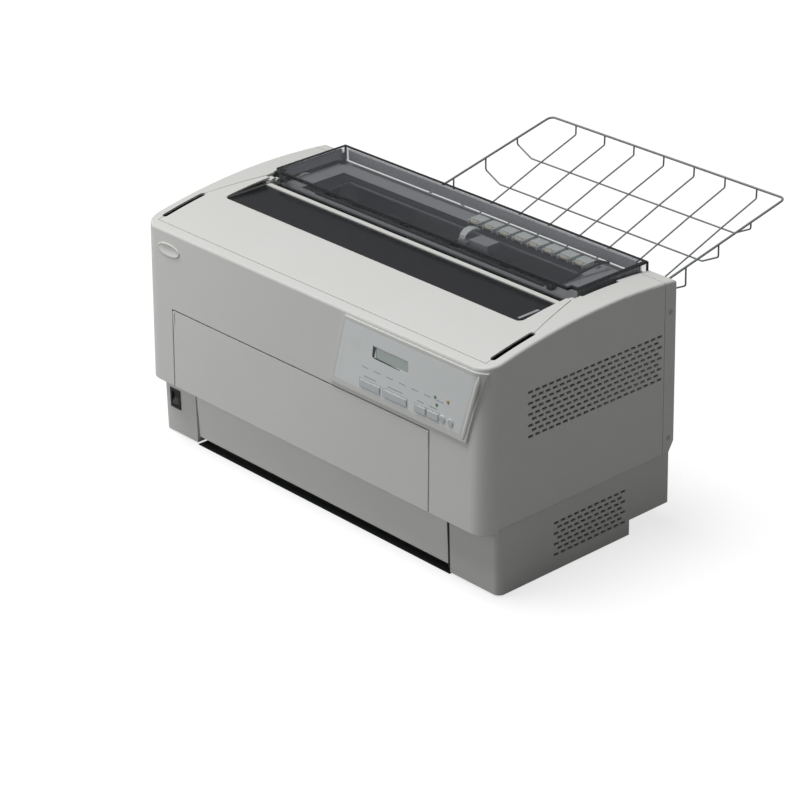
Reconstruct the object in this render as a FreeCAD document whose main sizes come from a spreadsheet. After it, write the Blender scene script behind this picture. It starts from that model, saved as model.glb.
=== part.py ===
import FreeCAD, Part

import math
import os
import re

import Sketcher

# Driving dimensions, in millimetres and degrees. "back" is a distance behind the front face,
# "up" a height over the table, "side" a distance from the middle plane.
sizes = {
    # whole machine
    "case_width": 700,
    "case_depth": 347,
    "rack_reach": 349,
    "wall": 3,
    "seam": 1.4,
    "cover_seam": 2.2,
    "overrun": 5,
    "play": 0.3,
    "shaft_play": 0.05,
    # lower case
    "foot_height": 3,
    "foot_radius": 13,
    "foot_side": 300,
    "foot_front_back": 52,
    "foot_rear_back": 240,
    "foot_peg": 4,
    "foot_peg_length": 4,
    "base_inset": 2,
    "base_front_back": 25,
    "base_rear_back": 340,
    "base_step_back": 266,
    "base_step_height": 22,
    "base_top": 102,
    "base_corner": 10,
    # upper and rear case
    "overhang_floor": 96,
    "front_lean": 8,
    "crown_back": 240,
    "crown_top": 356,
    "arch_radius": 983,
    "chamfer_height": 15,
    "chamfer_depth": 9,
    "corner_radius": 28,
    "rim_radius": 4,
    "rear_seam_back": 326,
    "rear_sill": 337,
    "rear_slot_side": 225,
    "rear_slot_low": 150,
    "rear_slot_height": 26,
    "screw_radius": 4,
    "screw_length": 9,
    "screw_low": 124,
    "screw_high": 308,
    # vents
    "vent_slot_length": 9,
    "vent_slot_height": 3.6,
    "vent_pitch_back": 12.4,
    "vent_pitch_up": 7.8,
    "vent_front_back": 77,
    "vent_rear_back": 325,
    "vent_low": 214,
    "vent_high": 287,
    "low_vent_front_back": 125,
    "low_vent_rear_back": 262,
    "low_vent_low": 24,
    "low_vent_high": 80,
    # front cover and the lip under it
    "cover_left_side": 286,
    "cover_right_side": 242,
    "cover_top": 212,
    "cover_hinge_back": 9,
    "cover_hinge_up": 105,
    "cover_knuckle": 5,
    "cover_rib": 9,
    "cover_ledge_back": 20,
    "knuckle_length": 9,
    "pin_radius": 2,
    "pin_length": 14,
    "pin_hold": 5,
    "lip_left_side": 272,
    "lip_right_side": 250,
    "lip_gap": 6,
    "lip_drop": 89,
    "lip_set_back": 3,
    "entry_depth": 20,
    "lip_tab": 12,
    "lip_top_drop": 4,
    "cheek_depth": 24,
    # power switch
    "switch_side": 320,
    "switch_up": 57,
    "switch_width": 22,
    "switch_height": 30,
    "switch_depth": 26,
    "switch_frame": 2.4,
    "switch_wall": 1.6,
    "switch_proud": 1.5,
    "rocker_tilt": 7,
    "rocker_half": 10,
    "rocker_front": 6.8,
    "rocker_dish": 1.8,
    "rocker_tail": 5,
    "rocker_tail_half": 7,
    "rocker_hinge_back": 31,
    "rocker_pin": 1.5,
    # control panel
    "panel_left_foot": 52,
    "panel_right_foot": 314,
    "panel_slant": 30,
    "panel_low": 221,
    "panel_high": 323,
    "panel_proud": 2.6,
    "panel_margin": 9,
    "panel_ridge": 13,
    "overlay_thick": 0.5,
    "display_left": 144,
    "display_width": 62,
    "display_low": 281,
    "display_height": 17,
    "pause_key_left": 114,
    "pause_key_right": 151,
    "load_key_left": 159,
    "load_key_right": 203,
    "feed_key_left": 220,
    "feed_key_right": 239,
    "menu_key_left": 243,
    "menu_key_right": 263,
    "key_row_up": 234,
    "key_height": 9,
    "key_proud": 1.2,
    "key_depth": 3,
    "key_flange": 2,
    # top cover
    "top_front_back": 22.5,
    "top_side": 331,
    "top_bend_back": 107,
    "top_rear_side": 305,
    "top_rear_back": 200,
    "top_wall": 2.5,
    "window_side": 298,
    "window_front_back": 114,
    "window_rear_back": 189,
    "window_top": 345,
    "window_thick": 2.5,
    "rail_front_back": 190,
    "rail_rear_back": 197,
    "rail_top": 350,
    "top_hinge_back": 204,
    "top_hinge_up": 346.5,
    "top_knuckle": 6,
    "window_ledge": 6,
    "hinge_block": 7,
    "slot_front_back": 31,
    "slot_rear_back": 106,
    "slot_half": 4.5,
    # paper exit lid
    "lid_side": 302,
    "lid_front_back": 206,
    "lid_rear_back": 344,
    "lid_low": 345,
    "lid_top": 363,
    "lid_wall": 2.5,
    "lid_corner": 4,
    "lid_notch_side": 290,
    "lid_notch_back": 213,
    "lid_hinge_back": 338,
    "lid_hinge_up": 346.5,
    "lid_knuckle": 5,
    "lid_brick_length": 16,
    "lid_brick_height": 3.6,
    "lid_brick_pitch": 21,
    "lid_brick_depth": 0.9,
    "lid_brick_rows": 2,
    "grip_front_back": 214,
    "grip_rear_back": 282,
    "grip_width": 6,
    # frame
    "frame_side": 293,
    "frame_wall": 3,
    "frame_front_back": 58,
    "frame_step_back": 214,
    "frame_rear_back": 322,
    "frame_low_top": 300,
    "frame_high_top": 338,
    "frame_heel": 8,
    "deck_wall": 3,
    "deck_hole_left": 230,
    "deck_hole_right": 240,
    "deck_hole_front_back": 232,
    "deck_hole_rear_back": 288,
    "stay_radius": 6,
    "stay_front_back": 75,
    "stay_front_up": 98,
    "stay_rear_back": 300,
    "stay_rear_up": 128,
    "platen_front_back": 224,
    "platen_depth": 20,
    "platen_low": 255,
    "platen_height": 42,
    "platen_chamfer": 5,
    # carriage
    "guide_radius": 7,
    "guide_front_back": 128,
    "guide_rear_back": 185,
    "guide_up": 251,
    "bed_front_back": 100,
    "bed_rear_back": 214,
    "bed_top": 222,
    "bed_wall": 3,
    "carriage_half": 35,
    "carriage_front_back": 112,
    "carriage_rear_back": 201,
    "carriage_low": 240,
    "carriage_height": 22,
    "clamp_half": 12,
    "clamp_depth": 12,
    "clamp_drop": 15,
    "head_half": 22,
    "head_front_back": 140,
    "head_block_height": 22,
    "head_fin_height": 15,
    "head_fin_wall": 2,
    "head_fin_pitch": 6,
    "head_fins": 9,
    "head_nose_half": 10,
    "head_nose_height": 14,
    "head_gap": 1,
    "pulley_radius": 12,
    "pulley_flange": 2.2,
    "pulley_flange_wall": 1.6,
    "pulley_side": 262,
    "belt_back": 156,
    "belt_wall": 1.4,
    "belt_width": 8,
    "belt_lift": 4,
    "motor_shaft": 3,
    "motor_radius": 24,
    "motor_length": 48,
    "motor_bore": 6,
    "motor_shaft_length": 12,
    "idler_post": 4,
    # ribbon
    "ribbon_side": 250,
    "ribbon_front_back": 60,
    "ribbon_rear_back": 108,
    "ribbon_height": 25,
    "ribbon_tab": 6,
    "ribbon_chamfer": 4,
    "ribbon_arm": 6,
    "ribbon_arm_reach": 92,
    "knob_side": 180,
    "knob_radius": 11,
    "knob_height": 5,
    "knob_stem": 3,
    "knob_scallops": 12,
    "knob_scallop": 1.4,
    # tractors
    "front_shaft_back": 72,
    "front_shaft_up": 135,
    "rear_shaft_back": 280,
    "rear_shaft_up": 165,
    "tractor_side": 200,
    "tractor_half": 13,
    "tractor_face": 20,
    "tractor_heel": 16,
    "tractor_below": 17,
    "tractor_above": 70,
    "tractor_rod_rise": 55,
    "tractor_rod": 4,
    "tractor_shaft": 4,
    "tractor_bore": 9.5,
    "tractor_pin": 1.9,
    "tractor_pin_length": 3.4,
    "tractor_pin_pitch": 12.7,
    "tractor_pin_count": 5,
    "tractor_paper_gap": 2,
    "tractor_lid": 4,
    "tractor_barrel": 2.6,
    "tractor_hinge": 1.5,
    "tractor_ear": 4,
    "tractor_slot": 3,
    # feed drive
    "exit_back": 262,
    "exit_up": 318,
    "exit_shaft": 5,
    "roller_radius": 14,
    "roller_length": 30,
    "roller_pitch": 100,
    "roller_count": 5,
    "gear_module": 1.25,
    "gear_teeth": 36,
    "pinion_teeth": 18,
    "gear_width": 6,
    "gear_offset": 2,
    "gear_backlash": 0.2,
    "gear_pressure_angle": 20,
    "gear_root_share": 1.25,
    "gear_flank_steps": 5,
    "gear_hub": 9,
    "feed_belt_offset": 12,
    "feed_belt_width": 6,
    "feed_motor_angle": 53,
    "feed_motor_radius": 20,
    "feed_motor_length": 42,
    "feed_motor_shaft": 2.5,
    "shaft_end_play": 3,
    # electrics
    "supply_left": 280,
    "supply_right": 120,
    "supply_front_back": 110,
    "supply_rear_back": 250,
    "supply_height": 74,
    "supply_vent_length": 40,
    "supply_vent_width": 3,
    "supply_vent_pitch": 9,
    "supply_vent_depth": 2,
    "supply_vent_margin": 18,
    "supply_vents": 12,
    "board_left": 90,
    "board_right": 285,
    "board_front_back": 105,
    "board_rear_back": 250,
    "board_wall": 1.6,
    "board_lift": 6,
    "board_post": 3,
    "board_inset": 8,
    "chip_height": 3,
    "can_radius": 8,
    "can_height": 28,
    "can_pitch": 20,
    "can_count": 3,
    "can_inset": 20,
    "can_front_inset": 40,
    "fan_size": 60,
    "fan_depth": 20,
    "fan_back": 194,
    "fan_up": 52,
    "fan_bore": 28,
    "fan_hub": 12,
    "fan_tip_play": 1.2,
    "fan_axle": 2,
    "fan_strut": 4,
    "fan_blade_wall": 2,
    "fan_blades": 7,
    "fan_blade_pitch": 35,
    "inlet_side": 245,
    "inlet_up": 58,
    "inlet_width": 30,
    "inlet_height": 24,
    "inlet_depth": 24,
    "inlet_wall": 3,
    "inlet_socket": 16,
    "inlet_blade": 2,
    "inlet_blade_length": 10,
    "inlet_blade_pitch": 5.5,
    "inlet_lip": 2,
    "port_side": 150,
    "port_up": 56,
    "port_width": 62,
    "port_height": 16,
    "port_pitch": 90,
    "port_depth": 16,
    "port_wall": 2,
    "port_socket": 9,
    # wire rack
    "rack_side": 233,
    "rack_wire": 1.7,
    "rack_thin_wire": 1.25,
    "rack_bend": 9,
    "rack_low": 258,
    "rack_high": 331,
    "rack_stub": 10,
    "rack_boss": 6,
    "rack_boss_length": 9,
    "rack_wires": 7,
    "rack_wire_pitch": 60,
    "rack_cross_first": 71,
    "rack_cross_gap": 65.5,
    "rack_cross_wires": 3,
    "rack_drop": 25,
    "rack_drop_gain": 9,
    "rack_drop_inset": 30,
    "rack_long_drop": 15,
    "rack_tail": 8,
    "rack_weld": 0.6,
    "rack_play": 0.1,
}

doc = FreeCAD.newDocument("dot_matrix_printer")
sheet = doc.addObject("Spreadsheet::Sheet", "Sizes")
for row, (alias, size) in enumerate(sizes.items(), start=1):
    sheet.set("A%d" % row, alias)
    sheet.set("B%d" % row, str(size))
    sheet.setAlias("B%d" % row, alias)
doc.recompute()

names = re.compile(r"\b(" + "|".join(sorted(sizes, key=len, reverse=True)) + r")\b")
nodes = {}
half = "case_width / 2"
front = "(-(case_depth + rack_reach) / 2)"


def linked(text):
    # the same expression with each size name turned into a link to its cell
    return names.sub(lambda found: "Sizes." + found.group(1), str(text))


def amount(text):
    # the number that an expression in the sizes comes to
    return float(sheet.evalExpression(linked(text)))


def bind(item, target, text):
    item.setExpression(target, linked(text))


def place(item, side, back, up):
    bind(item, "Placement.Base.x", side)
    bind(item, "Placement.Base.y", f"{front} + ({back})")
    bind(item, "Placement.Base.z", up)


def node(name, item):
    item.Label = name
    nodes[name] = item
    return item


def block(name, side, back, up):
    # a box between pairs of places: side to side, front to back, bottom to top
    item = doc.addObject("Part::Box", name)
    for target, (low, high) in (("Length", side), ("Width", back), ("Height", up)):
        bind(item, target, f"({high}) - ({low})")
    place(item, side[0], back[0], up[0])
    return item


turns = {
    "side": FreeCAD.Rotation(FreeCAD.Vector(0, 1, 0), 90),
    "back": FreeCAD.Rotation(FreeCAD.Vector(1, 0, 0), -90),
    "up": FreeCAD.Rotation(),
}


def rod(name, along, centre, span, radius):
    # a cylinder along one axis; centre is the pair of places on the other two axes
    item = doc.addObject("Part::Cylinder", name)
    item.Placement = FreeCAD.Placement(FreeCAD.Vector(), turns[along])
    bind(item, "Radius", radius)
    bind(item, "Height", f"({span[1]}) - ({span[0]})")
    first, second = centre
    where = {
        "side": (span[0], first, second),
        "back": (first, span[0], second),
        "up": (first, second, span[0]),
    }
    place(item, *where[along])
    return item


def join(name, *items):
    item = doc.addObject("Part::MultiFuse", name)
    item.Shapes = list(items)
    return item


def cut(name, base, *tools):
    item = doc.addObject("Part::Cut", name)
    item.Base = base
    item.Tool = tools[0] if len(tools) == 1 else join(name + "_tools", *tools)
    return item


def meet(name, *items):
    item = doc.addObject("Part::MultiCommon", name)
    item.Shapes = list(items)
    return item


def solid(name, shape):
    # a shape that sketches and primitives don't fit, built from the sheet's sizes by the caller
    item = doc.addObject("Part::Feature", name)
    item.Shape = shape
    return item


def outline(name, role, points, length, arc=None):
    # a body with one closed outline, points counter-clockwise, padded along its plane's normal.
    # Each coordinate is measured from a corner one overrun outside the outline, so none is negative.
    # arc = (index, centre, radius) makes the edge from point index to the next an arc.
    body = doc.addObject("PartDesign::Body", name)
    sketch = body.newObject("Sketcher::SketchObject", name + "_outline")
    plane = [item for item in body.Origin.OriginFeatures if item.Role == role][0]
    sketch.AttachmentSupport = (plane, [""])
    sketch.MapMode = "FlatFace"
    shifted = [(f"overrun + ({across})", f"overrun + ({up})") for across, up in points]
    spots = [FreeCAD.Vector(amount(across), amount(up), 0) for across, up in shifted]
    count = len(spots)
    for index in range(count):
        start, end = spots[index], spots[(index + 1) % count]
        if arc and arc[0] == index:
            centre = FreeCAD.Vector(*[amount(f"overrun + ({text})") for text in arc[1]], 0)
            angles = [math.atan2(spot.y - centre.y, spot.x - centre.x) for spot in (start, end)]
            circle = Part.Circle(centre, FreeCAD.Vector(0, 0, 1), amount(arc[2]))
            sketch.addGeometry(Part.ArcOfCircle(circle, *angles), False)
        else:
            sketch.addGeometry(Part.LineSegment(start, end), False)
    for index in range(count):
        sketch.addConstraint(Sketcher.Constraint("Coincident", index, 2, (index + 1) % count, 1))
    pins = [(index, 1, "X", across) for index, (across, up) in enumerate(shifted)]
    on_arc = (arc[0], (arc[0] + 1) % count) if arc else ()
    pins += [(index, 1, "Y", up) for index, (across, up) in enumerate(shifted) if index not in on_arc]
    if arc:
        pins += [(arc[0], 3, axis, f"overrun + ({text})") for axis, text in zip("XY", arc[1])]
    for index, spot, axis, text in pins:
        rule = Sketcher.Constraint("Distance" + axis, -1, 1, index, spot, amount(text))
        bind(sketch, "Constraints[%d]" % sketch.addConstraint(rule), text)
    if arc:
        rule = Sketcher.Constraint("Radius", arc[0], amount(arc[2]))
        bind(sketch, "Constraints[%d]" % sketch.addConstraint(rule), arc[2])
    pad = body.newObject("PartDesign::Pad", name + "_pad")
    pad.Profile = sketch
    bind(pad, "Length", length)
    return body


def side_outline(name, points, side, arc=None):
    # an outline seen from the side, as (back, up), padded across the machine
    body = outline(name, "YZ_Plane", points, f"({side[1]}) - ({side[0]})", arc)
    place(body, side[0], "-overrun", "-overrun")
    return body


def plan_outline(name, points, up):
    # an outline seen from above, as (side, back), padded upwards
    moved = [(f"{half} + ({side})", back) for side, back in points]
    body = outline(name, "XY_Plane", moved, f"({up[1]}) - ({up[0]})")
    place(body, f"-({half}) - overrun", "-overrun", up[0])
    return body


def front_outline(name, points, back):
    # an outline seen from the front, as (side, up), padded from front to back
    moved = [(f"{half} + ({side})", up) for side, up in points]
    body = outline(name, "XZ_Plane", moved, f"({back[1]}) - ({back[0]})")
    place(body, f"-({half}) - overrun", back[1], "-overrun")
    return body


def soften(body, radius, test):
    # rounds the edges of a body that pass the test, which gets the edge and the body's bounds
    doc.recompute()
    last = body.Tip
    bounds = last.Shape.BoundBox
    found = ["Edge%d" % (index + 1) for index, edge in enumerate(last.Shape.Edges) if test(edge, bounds)]
    fillet = body.newObject("PartDesign::Fillet", body.Name + "_round%d" % len(body.Group))
    fillet.Base = (last, found)
    bind(fillet, "Radius", radius)
    return fillet


def is_upright(edge):
    # more upright than level
    ends = [vertex.Point for vertex in edge.Vertexes]
    step = ends[-1] - ends[0]
    return len(ends) > 1 and abs(step.z) > abs(step.x) + abs(step.y)


def at_a_side(edge, bounds):
    place_x = edge.CenterOfMass.x
    return min(abs(place_x - bounds.XMin), abs(place_x - bounds.XMax)) < amount("play")


# Heights and depths that several pieces share
base_floor = "foot_height + wall"
step_floor = "foot_height + base_step_height + wall"
base_side = f"{half} - base_inset"
frame_outer = "frame_side + frame_wall"


def roof(back, inset="0"):
    # height of the arched roof at a depth
    return f"(crown_top - arch_radius + sqrt((arch_radius - ({inset})) ^ 2 - (crown_back - ({back})) ^ 2))"


def lean(up):
    # how far the front face has leant back at a height
    return f"(front_lean * (({up}) - overhang_floor) / ({roof('front_lean')} - overhang_floor))"


def vent_holes(name, back, up, side):
    # rows of short slots through both side walls, every other row set off by half a pitch
    length, height = amount("vent_slot_length"), amount("vent_slot_height")
    step_back, step_up = amount("vent_pitch_back"), amount("vent_pitch_up")
    low_back, high_back = [amount(text) for text in back]
    low_up, high_up = [amount(text) for text in up]
    depth = amount("wall + 2 * overrun")
    rows = int((high_up - low_up) / step_up)
    holes = []
    for row in range(rows):
        offset = step_back / 2 * (row % 2)
        count = int((high_back - low_back - offset) / step_back)
        for column in range(count):
            for way in (-1, 1):
                corner = FreeCAD.Vector(
                    way * amount(side) - depth / 2,
                    amount(front) + low_back + offset + column * step_back,
                    low_up + row * step_up,
                )
                holes.append(Part.makeBox(depth, length, height, corner))
    return solid(name, Part.makeCompound(holes))


def casing_form(name, inset="0"):
    # the rounded outside of the upper casing, or the same form set in by a wall
    within = amount(inset) > 0
    riser = "base_front_back - play"
    if within:
        shelf = "base_front_back + wall"
        floor = f"overhang_floor + {inset}"
        points = [
            (inset, floor),
            ("base_front_back - wall", floor),
            ("base_front_back - wall", f"base_top + {inset}"),
            (shelf, f"base_top + {inset}"),
            (shelf, "base_top - overrun"),
            (f"case_depth - chamfer_depth - {inset}", "base_top - overrun"),
            (f"case_depth - chamfer_depth - {inset}", "base_top"),
            (f"case_depth - {inset}", "base_top + chamfer_height"),
        ]
    else:
        points = [
            (f"({inset})", "overhang_floor"),
            (riser, "overhang_floor"),
            (riser, "base_top"),
            ("case_depth - chamfer_depth", "base_top"),
            ("case_depth", "base_top + chamfer_height"),
        ]
    arc_start = len(points)
    rear = f"case_depth - ({inset})"
    face = f"front_lean + ({inset})"
    points += [(rear, roof(rear, inset)), (face, roof(face, inset))]
    arc = (arc_start, ("crown_back", "crown_top - arch_radius"), f"arch_radius - ({inset})")
    edge = f"({half} - ({inset}))"
    body = side_outline(name, points, (f"-{edge}", edge), arc)
    middle = amount("case_depth / 2")
    soften(body, f"corner_radius - ({inset})", lambda item, bounds: is_upright(item)
           and at_a_side(item, bounds) and item.CenterOfMass.y < bounds.YMin + amount("front_lean")
           and item.Length > middle / 2)
    soften(body, f"rim_radius - ({inset})", lambda item, bounds: item.CenterOfMass.z > bounds.ZMax
           - amount("crown_top") / 8 and not is_upright(item))
    return body


def sided(way, low, high):
    # a span on the right side, or its mirror image on the left
    return (low, high) if way > 0 else (f"-({high})", f"-({low})")


def around(middle, reach):
    return (f"{middle} - ({reach})", f"{middle} + ({reach})")


def stadium(name, ends, half_width, up):
    # a slot form with round ends between two (side, back) places, along either axis
    rods = [rod(f"{name}_end_{index}", "up", end, up, half_width) for index, end in enumerate(ends)]
    (side, back), (last_side, last_back) = ends
    if side == last_side:
        middle = block(name + "_middle", around(side, half_width), (back, last_back), up)
    else:
        middle = block(name + "_middle", (side, last_side), around(back, half_width), up)
    return join(name, *rods, middle)


def arch(name, side, back, inset="0"):
    # everything between the frame's low top and the arched roof, over a span of depths
    low, high = back
    points = [(low, "frame_low_top"), (high, "frame_low_top"), (high, roof(high, inset)),
              (low, roof(low, inset))]
    return side_outline(name, points, side, (2, ("crown_back", "crown_top - arch_radius"),
                                             f"arch_radius - ({inset})"))


def leaning(name, side, up, outward, inward):
    # a slab along the leaning front face, from a distance in front of it to one behind it
    low, high = up
    points = [
        (f"{lean(low)} - ({outward})", low),
        (f"{lean(low)} + ({inward})", low),
        (f"{lean(high)} + ({inward})", high),
        (f"{lean(high)} - ({outward})", high),
    ]
    return side_outline(name, points, side)


# Lower case
base_points = [
    ("base_front_back", "foot_height"),
    ("base_step_back", "foot_height"),
    ("base_step_back", "foot_height + base_step_height"),
    ("base_rear_back", "foot_height + base_step_height"),
    ("base_rear_back", "base_top"),
    ("base_front_back", "base_top"),
]
hollow_points = [
    ("base_front_back + wall", base_floor),
    ("base_step_back - wall", base_floor),
    ("base_step_back - wall", step_floor),
    ("base_rear_back - wall", step_floor),
    ("base_rear_back - wall", "base_top + overrun"),
    ("base_front_back + wall", "base_top + overrun"),
]


def at_front_corner(edge, bounds):
    return is_upright(edge) and at_a_side(edge, bounds) and edge.CenterOfMass.y < bounds.YMin + amount("play")


base_outer = side_outline("base_outer", base_points, (f"-({base_side})", base_side))
soften(base_outer, "base_corner", at_front_corner)
hollow_side = f"{base_side} - wall"
base_hollow = side_outline("base_hollow", hollow_points, (f"-({hollow_side})", hollow_side))
soften(base_hollow, "base_corner - wall", at_front_corner)
front_wall = ("base_front_back - overrun", "base_front_back + wall + overrun")
rear_wall = ("base_rear_back - wall - overrun", "base_rear_back + overrun")
feet = [(f"{way} * foot_side", back) for way in (-1, 1) for back in ("foot_front_back", "foot_rear_back")]
switch_span = around("-switch_side", "switch_width / 2 - switch_frame")
switch_up = around("switch_up", "switch_height / 2 - switch_frame")
inlet_span = around("-inlet_side", "inlet_width / 2 - inlet_lip")
inlet_up = around("inlet_up", "inlet_height / 2 - inlet_lip")
ports = ["port_side", "port_side + port_pitch"]
port_up = around("port_up", "port_height / 2")
base_cuts = [
    base_hollow,
    block("entry_opening", ("-lip_left_side - seam", "lip_right_side + lip_gap"),
          ("base_front_back - overrun", "base_front_back + entry_depth"), ("0", "base_top + overrun")),
    block("switch_opening", switch_span, front_wall, switch_up),
    block("inlet_opening", inlet_span, rear_wall, inlet_up),
    vent_holes("low_vents", ("low_vent_front_back", "low_vent_rear_back"), ("low_vent_low", "low_vent_high"),
               f"{base_side} - wall / 2"),
]
base_cuts += [block(f"port_opening_{index}", around(port, "port_width / 2"), rear_wall, port_up)
              for index, port in enumerate(ports)]
base_cuts += [rod(f"peg_hole_{index}", "up", place, ("0", "base_top / 2"), "foot_peg")
              for index, place in enumerate(feet)]
base_shell = cut("base_shell", base_outer, *base_cuts)
cheek_back = ("base_front_back + wall", "base_front_back + cheek_depth")
cheek_web = ("base_front_back + cheek_depth - wall", "base_front_back + cheek_depth")
cheek_up = (base_floor, "base_top")
cheeks = [
    block("left_cheek", ("-lip_left_side - wall", "-lip_left_side"), cheek_back, cheek_up),
    block("right_cheek", ("lip_right_side + lip_gap", "lip_right_side + lip_gap + wall"),
          cheek_back, cheek_up),
    block("right_cheek_web", ("lip_right_side - wall", "lip_right_side + lip_gap + wall"),
          cheek_web, cheek_up),
]
node("base_case", join("base_with_cheeks", base_shell, *cheeks))

foot_parts = []
for index, place_of_foot in enumerate(feet):
    pad = rod(f"foot_pad_{index}", "up", place_of_foot, ("0", "foot_height"), "foot_radius")
    peg = rod(f"foot_peg_{index}", "up", place_of_foot, ("0", "foot_height + foot_peg_length"), "foot_peg")
    foot_parts.append(join(f"foot_{index}", pad, peg))
feet_group = doc.addObject("Part::Compound", "feet")
feet_group.Links = foot_parts
node("rubber_feet", feet_group)

lip_top = "base_top - lip_top_drop"
lip_points = [
    ("base_front_back + lip_set_back", f"{lip_top} - lip_drop + wall"),
    ("base_front_back + lip_set_back + wall", f"{lip_top} - lip_drop + wall"),
    ("base_front_back + wall", lip_top),
    ("base_front_back", lip_top),
]
lip_side = ("-lip_left_side", "lip_right_side")
lip_plate = side_outline("lip_plate", lip_points, lip_side)
lip_tab = block("lip_tab_strip", lip_side, ("base_front_back + wall", "base_front_back + 2 * wall"),
                (f"{lip_top} - lip_tab", lip_top))
lip_return = block("lip_return", ("lip_right_side - wall", "lip_right_side"),
                   ("base_front_back + wall", cheek_web[0]), (f"{lip_top} - lip_drop + wall", lip_top))
node("entry_lip", join("lip", lip_plate, lip_tab, lip_return))

# Power switch
housing_wall_side = around("-switch_side", "switch_width / 2 - switch_frame - switch_wall")
housing_back = ("base_front_back - switch_proud", "base_front_back - switch_proud + switch_depth")
flange = block("switch_flange", around("-switch_side", "switch_width / 2"),
               ("base_front_back - switch_proud", "base_front_back"),
               around("switch_up", "switch_height / 2"))
housing = block("switch_body", switch_span, housing_back, switch_up)
cavity = block("switch_cavity", housing_wall_side,
               (housing_back[0] + " - overrun", housing_back[1] + " - switch_wall"),
               around("switch_up", "switch_height / 2 - switch_frame - switch_wall"))
rocker_centre = ("rocker_hinge_back", "switch_up")
pin_hole = rod("switch_pin_hole", "side", rocker_centre,
               around("-switch_side", "switch_width / 2 - switch_frame"),
               "rocker_pin + shaft_play")
node("power_switch_housing", cut("switch_housing", join("switch_outside", flange, housing), cavity, pin_hole))

rocker_shape = [
    ("-rocker_front", "-rocker_half"),
    ("rocker_tail", "-rocker_tail_half"),
    ("rocker_tail", "rocker_tail_half"),
    ("-rocker_front", "rocker_half"),
    ("-rocker_front + rocker_dish", "0"),
]
rocker_points = [
    (f"rocker_hinge_back + ({away}) * cos(rocker_tilt) + ({up}) * sin(rocker_tilt)",
     f"switch_up - ({away}) * sin(rocker_tilt) + ({up}) * cos(rocker_tilt)")
    for away, up in rocker_shape
]
rocker = side_outline("rocker_body", rocker_points,
                      around("-switch_side", "switch_width / 2 - switch_frame - switch_wall - play"))
rocker_pins = rod("rocker_pins", "side", rocker_centre,
                  around("-switch_side", "switch_width / 2 - switch_frame - switch_wall / 4"), "rocker_pin")
node("power_switch_rocker", join("rocker", rocker, rocker_pins))

# Electrics
board_side = ("board_left", "board_right")
board_back = ("board_front_back", "board_rear_back")
board_floor = f"{base_floor} + board_lift"
board_top = f"{board_floor} + board_wall"
board_parts = [block("board_plate", board_side, board_back, (board_floor, board_top))]
for index, (side, back) in enumerate([(side, back)
                                      for side in ("board_left + board_inset", "board_right - board_inset")
                                      for back in ("board_front_back + board_inset",
                                                   "board_rear_back - board_inset")]):
    board_parts.append(rod(f"board_post_{index}", "up", (side, back), (base_floor, board_floor),
                           "board_post"))
# each chip's left, right, front and rear edge, as shares of the board
chip_shares = [
    (0.20, 0.45, 0.22, 0.55),
    (0.53, 0.70, 0.22, 0.66),
    (0.20, 0.49, 0.72, 0.88),
    (0.61, 0.82, 0.77, 0.88),
]


def on_board(across_share, back_share):
    return (f"board_left + {across_share} * (board_right - board_left)",
            f"board_front_back + {back_share} * (board_rear_back - board_front_back)")


for index, (left_share, right_share, front_share, rear_share) in enumerate(chip_shares):
    first, last = on_board(left_share, front_share), on_board(right_share, rear_share)
    board_parts.append(block(f"chip_{index}", (first[0], last[0]), (first[1], last[1]),
                             (board_top, f"{board_top} + chip_height")))
for index in range(int(amount("can_count"))):
    spot = ("board_left + can_inset", f"board_front_back + can_front_inset + {index} * can_pitch")
    board_parts.append(rod(f"can_{index}", "up", spot, (board_top, f"{board_top} + can_height"),
                           "can_radius"))
node("main_board", join("board", *board_parts))

supply_side = ("-supply_left", "-supply_right")
supply_back = ("supply_front_back", "supply_rear_back")
supply_top = f"{base_floor} + supply_height"
supply = block("supply_box", supply_side, supply_back, (base_floor, supply_top))
grooves = []
for index in range(int(amount("supply_vents"))):
    start = f"supply_front_back + supply_vent_margin + {index} * supply_vent_pitch"
    middle = "-(supply_left + supply_right) / 2"
    grooves.append(block(f"supply_groove_{index}", around(middle, "supply_vent_length"),
                         (start, f"{start} + supply_vent_width"),
                         (f"{supply_top} - supply_vent_depth", f"{supply_top} + overrun")))
node("power_supply", cut("supply", supply, *grooves))

fan_out = f"{base_side} - wall"
fan_centre = ("fan_back", "fan_up")
fan_box = block("fan_box", (f"{fan_out} - fan_depth", fan_out), around("fan_back", "fan_size / 2"),
                around("fan_up", "fan_size / 2"))
fan_hole = rod("fan_hole", "side", fan_centre,
               (f"{fan_out} - fan_depth - overrun", f"{fan_out} + overrun"), "fan_bore")
strut_side = (f"{fan_out} - fan_strut", fan_out)
fan_parts = [
    cut("fan_ring", fan_box, fan_hole),
    block("fan_strut_back", strut_side, around("fan_back", "fan_bore + fan_blade_wall / 2"),
          around("fan_up", "fan_strut / 2")),
    block("fan_strut_up", strut_side, around("fan_back", "fan_strut / 2"),
          around("fan_up", "fan_bore + fan_blade_wall / 2")),
    rod("fan_motor", "side", fan_centre, strut_side, "fan_hub"),
    rod("fan_axle_rod", "side", fan_centre, (f"{fan_out} - fan_depth + fan_strut",
                                             f"{fan_out} - fan_strut"), "fan_axle"),
]
node("fan_frame", join("fan", *fan_parts))

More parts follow.
